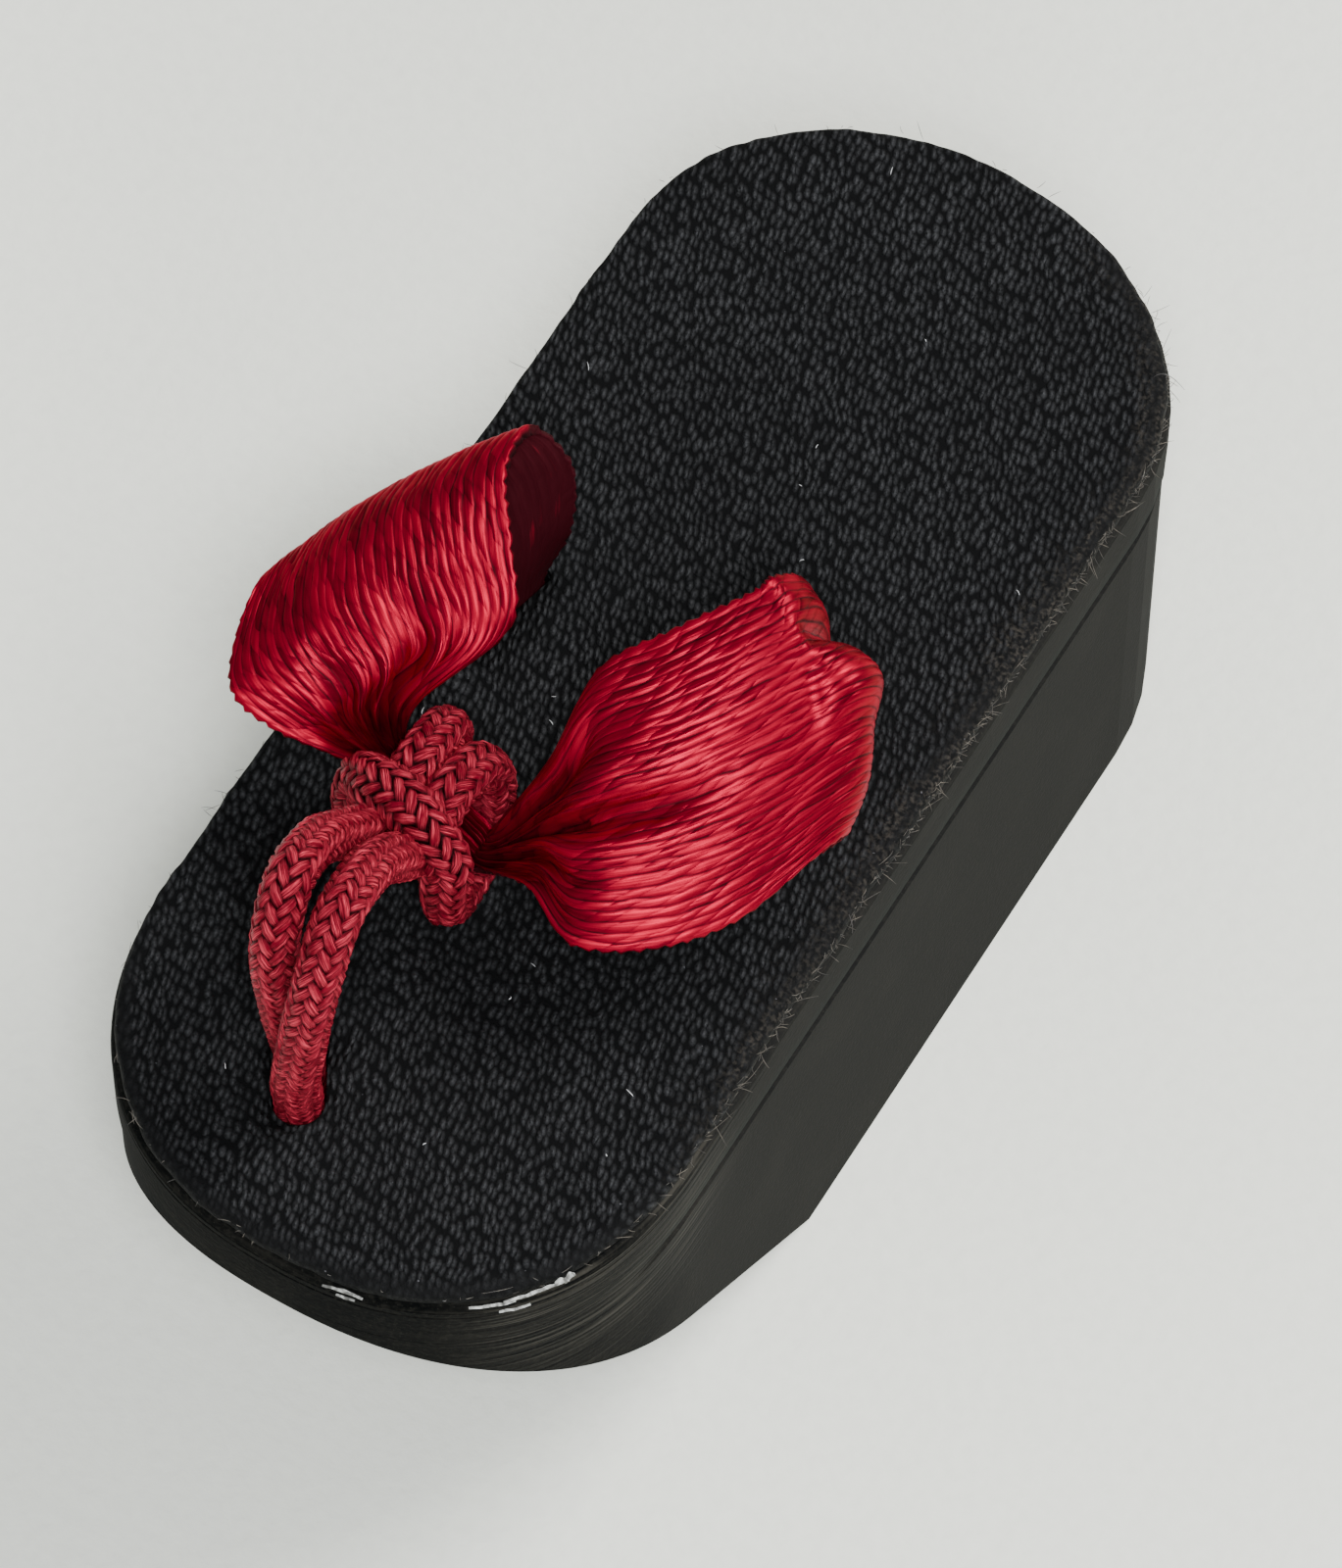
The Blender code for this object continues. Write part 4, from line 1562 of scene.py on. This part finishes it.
@dataclass
class ToeCord:
    """The braided cord: two legs, and a lark's head knot round the gathered ribbon.

    pitch is the length in which a strand goes once round, and weave how far it rises over
    one strand and dips under the next.
    """

    sizes: SoleSizes
    knot: Array
    axis: Array
    diameter: float = 1.08
    arch_rise: float = 6.3
    knot_from_hole: float = 6.2
    leg_spacing: float = 1.026
    bar_half_span: float = 1.296
    wrap_radius: float = 1.262
    hole_floor: float = 9.7
    strands: int = 10
    pitch: float = 3.1
    strand_wide: float = 0.132
    strand_thick: float = 0.082
    weave: float = 0.066
    strand_sides: int = 6
    core_sides: int = 16
    spacing: float = 0.11
    finish: CrimsonBraid = CrimsonBraid()

    def leg_point(self, leg: Leg, side: int) -> Array:
        """One point of a leg.

        Args:
            leg: The point in the solids' terms.
            side: -1 for the inner leg, 1 for the outer one.

        Returns:
            The point in millimetres.
        """
        hole = self.sizes.toe_hole
        twist = math.radians(leg.twist)
        apart = side * self.leg_spacing * leg.apart / 2
        return np.array([
            hole[0] + (self.knot[0] - hole[0]) * leg.lean + math.cos(twist) * apart,
            hole[1] + self.knot_from_hole * leg.run - math.sin(twist) * apart,
            self.sizes.cloth_top + self.arch_rise * leg.rise,
        ])

    def around(self, turn: Turn, side: int) -> Array:
        """A point on the way round the gathered ribbon.

        Args:
            turn: The point in the solids' terms.
            side: -1 for the inner side, 1 for the outer one.

        Returns:
            The point in millimetres.
        """
        distance = self.wrap_radius + turn.out * self.diameter
        angle = math.radians(turn.angle)
        aside = self.axis * side * turn.aside * self.bar_half_span
        return self.knot + aside + distance * np.array([0.0, math.cos(angle), math.sin(angle)])

    def leg_route(self, side: int) -> Array:
        """From the toe hole over the arch, under the bar, round the ribbon and up again.

        Args:
            side: -1 for the inner leg, 1 for the outer one.

        Returns:
            The leg's middle line.
        """
        foot = self.leg_point(LEGS[0], side)
        foot[2] = self.hole_floor
        legs = [self.leg_point(leg, side) for leg in LEGS]
        turns = [self.around(turn, side) for turn in LEG_TURNS]
        return smooth_route(np.array([foot, *legs, *turns]), self.spacing)

    def bar_route(self) -> Array:
        """Across both legs, in front of the ribbon.

        Returns:
            The bar's middle line.
        """
        left = [self.around(turn, -1) for turn in BAR_TURNS]
        right = [self.around(turn, 1) for turn in BAR_TURNS[:-1]]
        return smooth_route(np.array([*left, *reversed(right)]), self.spacing)

    def knot_axes(self, route: Array) -> tuple[Array, Array, Array, Array]:
        """Directions square to a route.

        Args:
            route: The cord's middle line.

        Returns:
            A pair that turns as little as it can, then one direction towards the knot's axis
            and one level with it.
        """
        sides, ups, ahead = moving_frames(route)
        inward = (self.knot - route) * (0.0, 1.0, 1.0)
        inward = unit(inward - ahead * reach_along(inward, ahead))
        return sides, ups, inward, np.cross(ahead, inward)

    def braid(
        self, route: Array, wide: Array, flat: Array
    ) -> tuple[Array, Faces, dict[str, Array]]:
        """Strands woven round one route.

        Args:
            route: The cord's middle line.
            wide: How wide the cord is at each point, as a share of its diameter.
            flat: How thick it is there towards the knot's axis, in the same way.

        Returns:
            Points, faces and tracks.
        """
        sides, ups, inward, level = self.knot_axes(route)
        way = along_line(route)
        radius = self.diameter / 2 - self.strand_thick - self.weave * 0.8
        turn = math.tau * way / self.pitch
        crossing = 2 * self.strands * way / self.pitch
        angles = np.arange(self.strand_sides) * math.tau / self.strand_sides
        points, faces, along, across, lift = [], [], [], [], []
        for family in (1, -1):
            for number in range(self.strands):
                angle = family * turn + math.tau * number / self.strands
                phase = (2 * number + family * crossing - 0.5) / 4
                rise = family * np.cos(math.tau * phase)
                out = sides * np.cos(angle)[:, None] + ups * np.sin(angle)[:, None]
                out = (
                    out
                    + inward * reach_along(out, inward) * (flat[:, None] - 1)
                    + level * reach_along(out, level) * (wide[:, None] - 1)
                )
                line = route + out * (radius + self.weave * rise)[:, None]
                ahead = unit(np.gradient(line, axis=0))
                normal = unit(out)
                normal = unit(normal - ahead * reach_along(normal, ahead))
                flank = np.cross(ahead, normal) * self.strand_wide
                start = len(points) * len(route) * self.strand_sides
                faces += grid_faces(len(route), self.strand_sides, closed=True, start=start)
                points.append(
                    rings_round(line, flank, normal * self.strand_thick, self.strand_sides)
                )
                along.append(np.repeat(way * 1.4 + number * 3.7, self.strand_sides))
                across.append(np.tile(np.cos(angles), len(route)))
                # How high each point stands on the braid; the finish paints the low parts in shade
                # and the high ones as highlights.
                height = np.sin(angles)[None, :] * 0.4 + rise[:, None] * 0.4 + 0.35
                lift.append(np.clip(height, 0, 1).ravel())
        tracks = {
            "along": np.concatenate(along),
            "across": np.concatenate(across),
            "lift": np.concatenate(lift),
        }
        return np.vstack(points), faces, tracks

    def core(self, route: Array, wide: Array, flat: Array) -> tuple[Array, Faces]:
        """The cord's filled inside, just under its strands.

        Args:
            route: The cord's middle line.
            wide: How wide the cord is at each point, as a share of its diameter.
            flat: How thick it is there towards the knot's axis, in the same way.

        Returns:
            Points and faces.
        """
        _, _, inward, level = self.knot_axes(route)
        radius = self.diameter / 2 - 2.4 * self.strand_thick
        high, broad = (flat * radius)[:, None], (wide * radius)[:, None]
        points = rings_round(route, inward * high, level * broad, self.core_sides)
        return points, tube_faces(len(route), self.core_sides)

    def build(self) -> list[bpy.types.Object]:
        """Make the cord.

        Returns:
            Both legs and the bar.
        """
        material = self.finish.material()
        inner_leg, outer_leg, bar = self.leg_route(-1), self.leg_route(1), self.bar_route()
        middle = np.sin(np.linspace(0, math.pi, len(bar))) ** 1.5
        pieces = []
        for name, route, spread, squash in (
            ("cord_leg_inner", inner_leg, 0.06, 0.05),
            ("cord_leg_outer", outer_leg, 0.06, 0.05),
            ("cord_knot_bar", bar, 0.22, 0.12),
        ):
            if route is bar:
                wide, flat = 1.05 + spread * middle, 1.0 - squash * middle
            else:
                near = soft_step(1.9, 1.2, np.linalg.norm((route - self.knot)[:, 1:], axis=1))
                wide, flat = 1.0 + spread * near, 1.0 - squash * near
            points, faces, tracks = self.braid(route, wide, flat)
            inner, inner_faces = self.core(route, wide, flat)
            faces += [tuple(index + len(points) for index in face) for face in inner_faces]
            tracks = {
                track: np.concatenate([values, np.zeros(len(inner))])
                for track, values in tracks.items()
            }
            piece = new_piece(name, np.vstack([points, inner]), faces, material, tracks)
            pieces.append(carried(piece, "cord_braid", "toe_cord"))
        return pieces


# Small traces


class Smear(NamedTuple):
    """One smear of glue, between two angles round the toe and two heights.

    The angles are in degrees from the inner side.
    """

    start: float
    end: float
    low: float
    high: float


SMEARS = (
    Smear(99.0, 106.5, 11.96, 12.08),
    Smear(101.5, 105.0, 11.78, 11.86),
    Smear(127.0, 136.5, 12.02, 12.10),
    Smear(134.0, 148.0, 12.06, 12.16),
    Smear(145.0, 149.5, 12.08, 12.32),
    Smear(133.0, 139.5, 11.68, 11.77),
)


@dataclass
class GlueTraces:
    """Crumbs and smears of glue along the toe's edge, under the cloth."""

    sizes: SoleSizes
    finish: DriedGlue = DriedGlue()
    steps: int = 60
    rows: int = 7
    degree: float = 0.13
    seed: int = 5

    def smear(self, smear: Smear, rng: np.random.Generator) -> Array:
        """One smear along the deck's edge.

        Args:
            smear: Its place.
            rng: Where the random numbers come from.

        Returns:
            Its points, row by row.
        """
        sizes, steps = self.sizes, self.steps
        angles = np.radians(np.linspace(smear.start, smear.end, steps))
        across = -np.sign(np.cos(angles)) * np.abs(np.cos(angles)) ** (2 / sizes.toe_roundness)
        along = np.sin(angles) ** (2 / sizes.toe_roundness)
        way = np.linspace(0, abs(smear.end - smear.start) * self.degree, steps)
        ends = np.sin(np.linspace(0.02, math.pi - 0.02, steps)) ** 0.5
        ragged = [(0.62 + smooth_noise(rng, way, 0.16) * 0.38) * ends for _ in range(2)]
        tall = smear.high - smear.low
        middle = (smear.low + smear.high) / 2 + smooth_noise(rng, way, 0.3) * tall * 0.35
        rings = []
        for row in np.linspace(-1, 1, self.rows):
            height = middle + row * (ragged[0] if row < 0 else ragged[1]) * tall / 2
            swell = 0.05 * (1 - row * row) + 0.012
            out = swell - np.clip(height - sizes.deck_height, 0, 1) * 0.33
            x = across * (sizes.width / 2 + out)
            y = -(sizes.length / 2 - sizes.toe_arc) - along * (sizes.toe_arc + out)
            rings.append(np.column_stack([x, y, height]))
        return np.vstack(rings)

    def build(self) -> bpy.types.Object:
        """Make the glue.

        Returns:
            All smears as one piece.
        """
        rng = np.random.default_rng(self.seed)
        points = [self.smear(smear, rng) for smear in SMEARS]
        faces = []
        for number, part in enumerate(points):
            faces += grid_faces(self.rows, self.steps, start=number * len(part))
        piece = new_piece("glue_traces", np.vstack(points), faces, self.finish.material())
        return carried(piece, "insole_fabric")


def bent_hair(root: Array, aim: Array, bend: Array, length: float, steps: int = 6) -> Array:
    """The points of one hair.

    Args:
        root: Where it starts.
        aim: Where it points at first.
        bend: Where it bends to, as a share of its length at its tip.
        length: Its length.
        steps: How many points it has.

    Returns:
        The points.
    """
    share = np.linspace(0, 1, steps)[:, None]
    return root + aim * share * length + bend * share**2 * length


class Hair(NamedTuple):
    """One long hair: where it starts, where it points and its length."""

    root: tuple[float, float, float]
    aim: tuple[float, float, float]
    length: float


LONG_HAIRS = (
    Hair((5.35, 12.2, 12.45), (0.3, 0.5, 0.7), 0.9),
    Hair((6.2, -2.2, 12.3), (0.8, -0.5, 0.4), 0.8),
    Hair((5.9, 6.5, 12.35), (0.5, 0.9, 0.5), 0.7),
    Hair((-2.0, -14.55, 12.2), (-0.4, -0.8, 0.1), 0.5),
)


@dataclass
class StrayFibres:
    """Fuzz on the cloth's cut edge, lint on its top and a few longer hairs."""

    sizes: SoleSizes
    edge_count: int = 520
    edge_thickness: float = 0.014
    edge_seed: int = 21
    lint_count: int = 26
    lint_thickness: float = 0.026
    lint_seed: int = 8
    hair_thickness: float = 0.020
    hair_steps: int = 14
    hair_seed: int = 3

    def edge_fuzz(self) -> bpy.types.Object:
        """Short fibres that stand out of the cloth's cut edge.

        Returns:
            The fibres as one piece.
        """
        sizes = self.sizes
        rng = np.random.default_rng(self.edge_seed)
        plan, way = sizes.cloth_outline(sizes.cloth_inset - 0.02)
        outward = unit(np.stack([np.gradient(plan[:, 1]), -np.gradient(plan[:, 0])], 1))
        weight = 0.12 + soft_step(3.0, 5.5, plan[:, 0]) * soft_step(-12.0, -6.0, plan[:, 1])
        weight *= np.gradient(way).clip(0.0)
        lines = []
        for index in rng.choice(len(plan), self.edge_count, p=weight / weight.sum()):
            height = rng.uniform(sizes.cloth_bottom + 0.05, sizes.cloth_top - 0.03)
            root = np.array([*plan[index], height])
            out = np.array([*outward[index], 0.0])
            run = np.array([-out[1], out[0], 0.0]) * rng.normal(0, 1.0)
            aim = out * rng.uniform(0.2, 0.9) + run + np.array([0, 0, rng.normal(0.15, 0.5)])
            bend = rng.normal(0, 0.5, 3) * 0.5
            length = rng.gamma(2.2, 0.07) + 0.06
            lines.append(bent_hair(root - out * 0.05, unit(aim), bend, length))
        finish = LooseFibre("grey_brown_fuzz", (0.020, 0.017, 0.014), (0.14, 0.12, 0.095))
        piece = hairs("edge_fuzz", lines, self.edge_thickness / 2, finish.material())
        return carried(piece, "insole_fabric")

    def lint(self) -> bpy.types.Object:
        """Short pale lint on the cloth.

        Returns:
            The lint as one piece.
        """
        rng = np.random.default_rng(self.lint_seed)
        lines = []
        while len(lines) < self.lint_count:
            x, y = rng.uniform(-6.0, 6.0), rng.uniform(-14.0, 14.0)
            if abs(x) > 5.6 and abs(y) > 9 or (x**2 + max(0, abs(y) - 8.5) ** 2) > 5.9**2:
                continue
            turn = rng.uniform(0, math.tau)
            aim = np.array([math.cos(turn), math.sin(turn), 0.0])
            bend = np.array([-aim[1], aim[0], 0.0]) * rng.normal(0, 0.4)
            root = np.array([x, y, self.sizes.cloth_top + 0.015])
            lines.append(bent_hair(root, aim, bend, rng.uniform(0.06, 0.22)))
        finish = LooseFibre("pale_lint", (0.35, 0.36, 0.37), (0.75, 0.76, 0.78))
        piece = hairs("lint_specks", lines, self.lint_thickness / 2, finish.material())
        return carried(piece, "insole_fabric")

    def long_hairs(self) -> bpy.types.Object:
        """A few longer hairs on the edges.

        Returns:
            The hairs as one piece.
        """
        rng = np.random.default_rng(self.hair_seed)
        lines = []
        for hair in LONG_HAIRS:
            root, aim = np.array(hair.root), unit(np.array(hair.aim))
            bend = rng.normal(0, 0.35, 3)
            lines.append(bent_hair(root, aim, bend, hair.length, self.hair_steps))
        finish = LooseFibre("dark_hair", (0.03, 0.028, 0.026), (0.10, 0.095, 0.09))
        piece = hairs("long_hairs", lines, self.hair_thickness / 2, finish.material())
        return carried(piece, "insole_fabric")

    def build(self) -> list[bpy.types.Object]:
        """Every kind of fibre."""
        return [self.edge_fuzz(), self.lint(), self.long_hairs()]


# Camera, light and floor


class Lamp(NamedTuple):
    """A soft square lamp: its side in millimetres, its power in watts and its colour."""

    name: str
    place: tuple[float, float, float]
    size: float
    power: float
    colour: Colour


LAMPS = (
    Lamp("window", (120.0, 190.0, 260.0), 170.0, 1.50, (1.0, 0.985, 0.96)),
    Lamp("room", (88.0, -128.0, 280.0), 60.0, 0.95, (0.97, 0.985, 1.0)),
    Lamp("side", (175.0, -195.0, 190.0), 60.0, 0.26, (0.98, 0.99, 1.0)),
    Lamp("front", (160.0, -190.0, 110.0), 160.0, 0.10, (1.0, 0.97, 0.93)),
)


@dataclass
class Studio:
    """The camera at the photograph's angle, soft light and a pale floor."""

    camera_place: tuple[float, float, float] = (53.243, -87.126, 205.778)
    look_at: tuple[float, float, float] = (0.15, 0.7, 7.2)
    lamps_look_at: tuple[float, float, float] = (0.0, 0.0, 8.0)
    lens: float = 236.0
    sensor: float = 36.0
    floor_half: float = 600.0
    sky_colour: Colour = (0.92, 0.95, 0.94)
    sky_strength: float = 0.40

    def aim(self, place: Sequence[float], target: Sequence[float]) -> Matrix:
        """A matrix at a place that looks at a target."""
        way = Vector(place) - Vector(target)
        return Matrix.LocRotScale(Vector(place) * MM, way.to_track_quat("Z", "Y"), None)

    def camera(self) -> None:
        """The photograph's camera."""
        data = bpy.data.cameras.new("camera")
        data.lens = self.lens
        data.sensor_width = self.sensor
        data.sensor_fit = "AUTO"
        data.clip_start = MM
        camera = bpy.data.objects.new("camera", data)
        camera.matrix_world = self.aim(self.camera_place, self.look_at)
        bpy.context.scene.collection.objects.link(camera)
        bpy.context.scene.camera = camera

    def hang(self, lamp: Lamp) -> None:
        """Hang a lamp that looks at the shoe.

        Args:
            lamp: The lamp.
        """
        data = bpy.data.lights.new(lamp.name, "AREA")
        data.size = lamp.size * MM
        data.energy = lamp.power
        data.color = lamp.colour
        light = bpy.data.objects.new(lamp.name, data)
        light.matrix_world = self.aim(lamp.place, self.lamps_look_at)
        bpy.context.scene.collection.objects.link(light)

    def sky(self) -> None:
        """An even pale light from all round."""
        world = bpy.data.worlds.new("sky")
        world.use_nodes = True
        sky = world.node_tree.nodes["Background"]
        sky.inputs["Color"].default_value = (*self.sky_colour, 1.0)
        sky.inputs["Strength"].default_value = self.sky_strength
        bpy.context.scene.world = world

    def floor(self) -> None:
        """A wide pale floor."""
        half = self.floor_half
        corners = [(-half, -half, 0), (half, -half, 0), (half, half, 0), (-half, half, 0)]
        material = PalePaper().material()
        new_piece("floor", np.array(corners), [(0, 1, 2, 3)], material, smooth=False)

    def build(self) -> None:
        """Camera, lamps, sky and floor."""
        self.camera()
        for lamp in LAMPS:
            self.hang(lamp)
        self.sky()
        self.floor()


def main() -> None:
    """Build every piece in order."""
    logging.basicConfig(level=logging.INFO, format="%(name)s: %(message)s")
    Studio().build()
    sizes = SoleSizes()
    knot, axis = np.array(KNOT), np.array(RIBBON_AXIS)
    ribbon = RibbonStrap(sizes, knot, axis)
    SoleBlock(sizes, [ribbon.slot_outline(side, ribbon.clearance) for side in Side]).build()
    InsoleCloth(sizes, [ribbon.slot_outline(side, ribbon.snug) for side in Side]).build()
    ribbon.build()
    ToeCord(sizes, knot, axis).build()
    GlueTraces(sizes).build()
    StrayFibres(sizes).build()


if __name__ == "__main__":
    main()
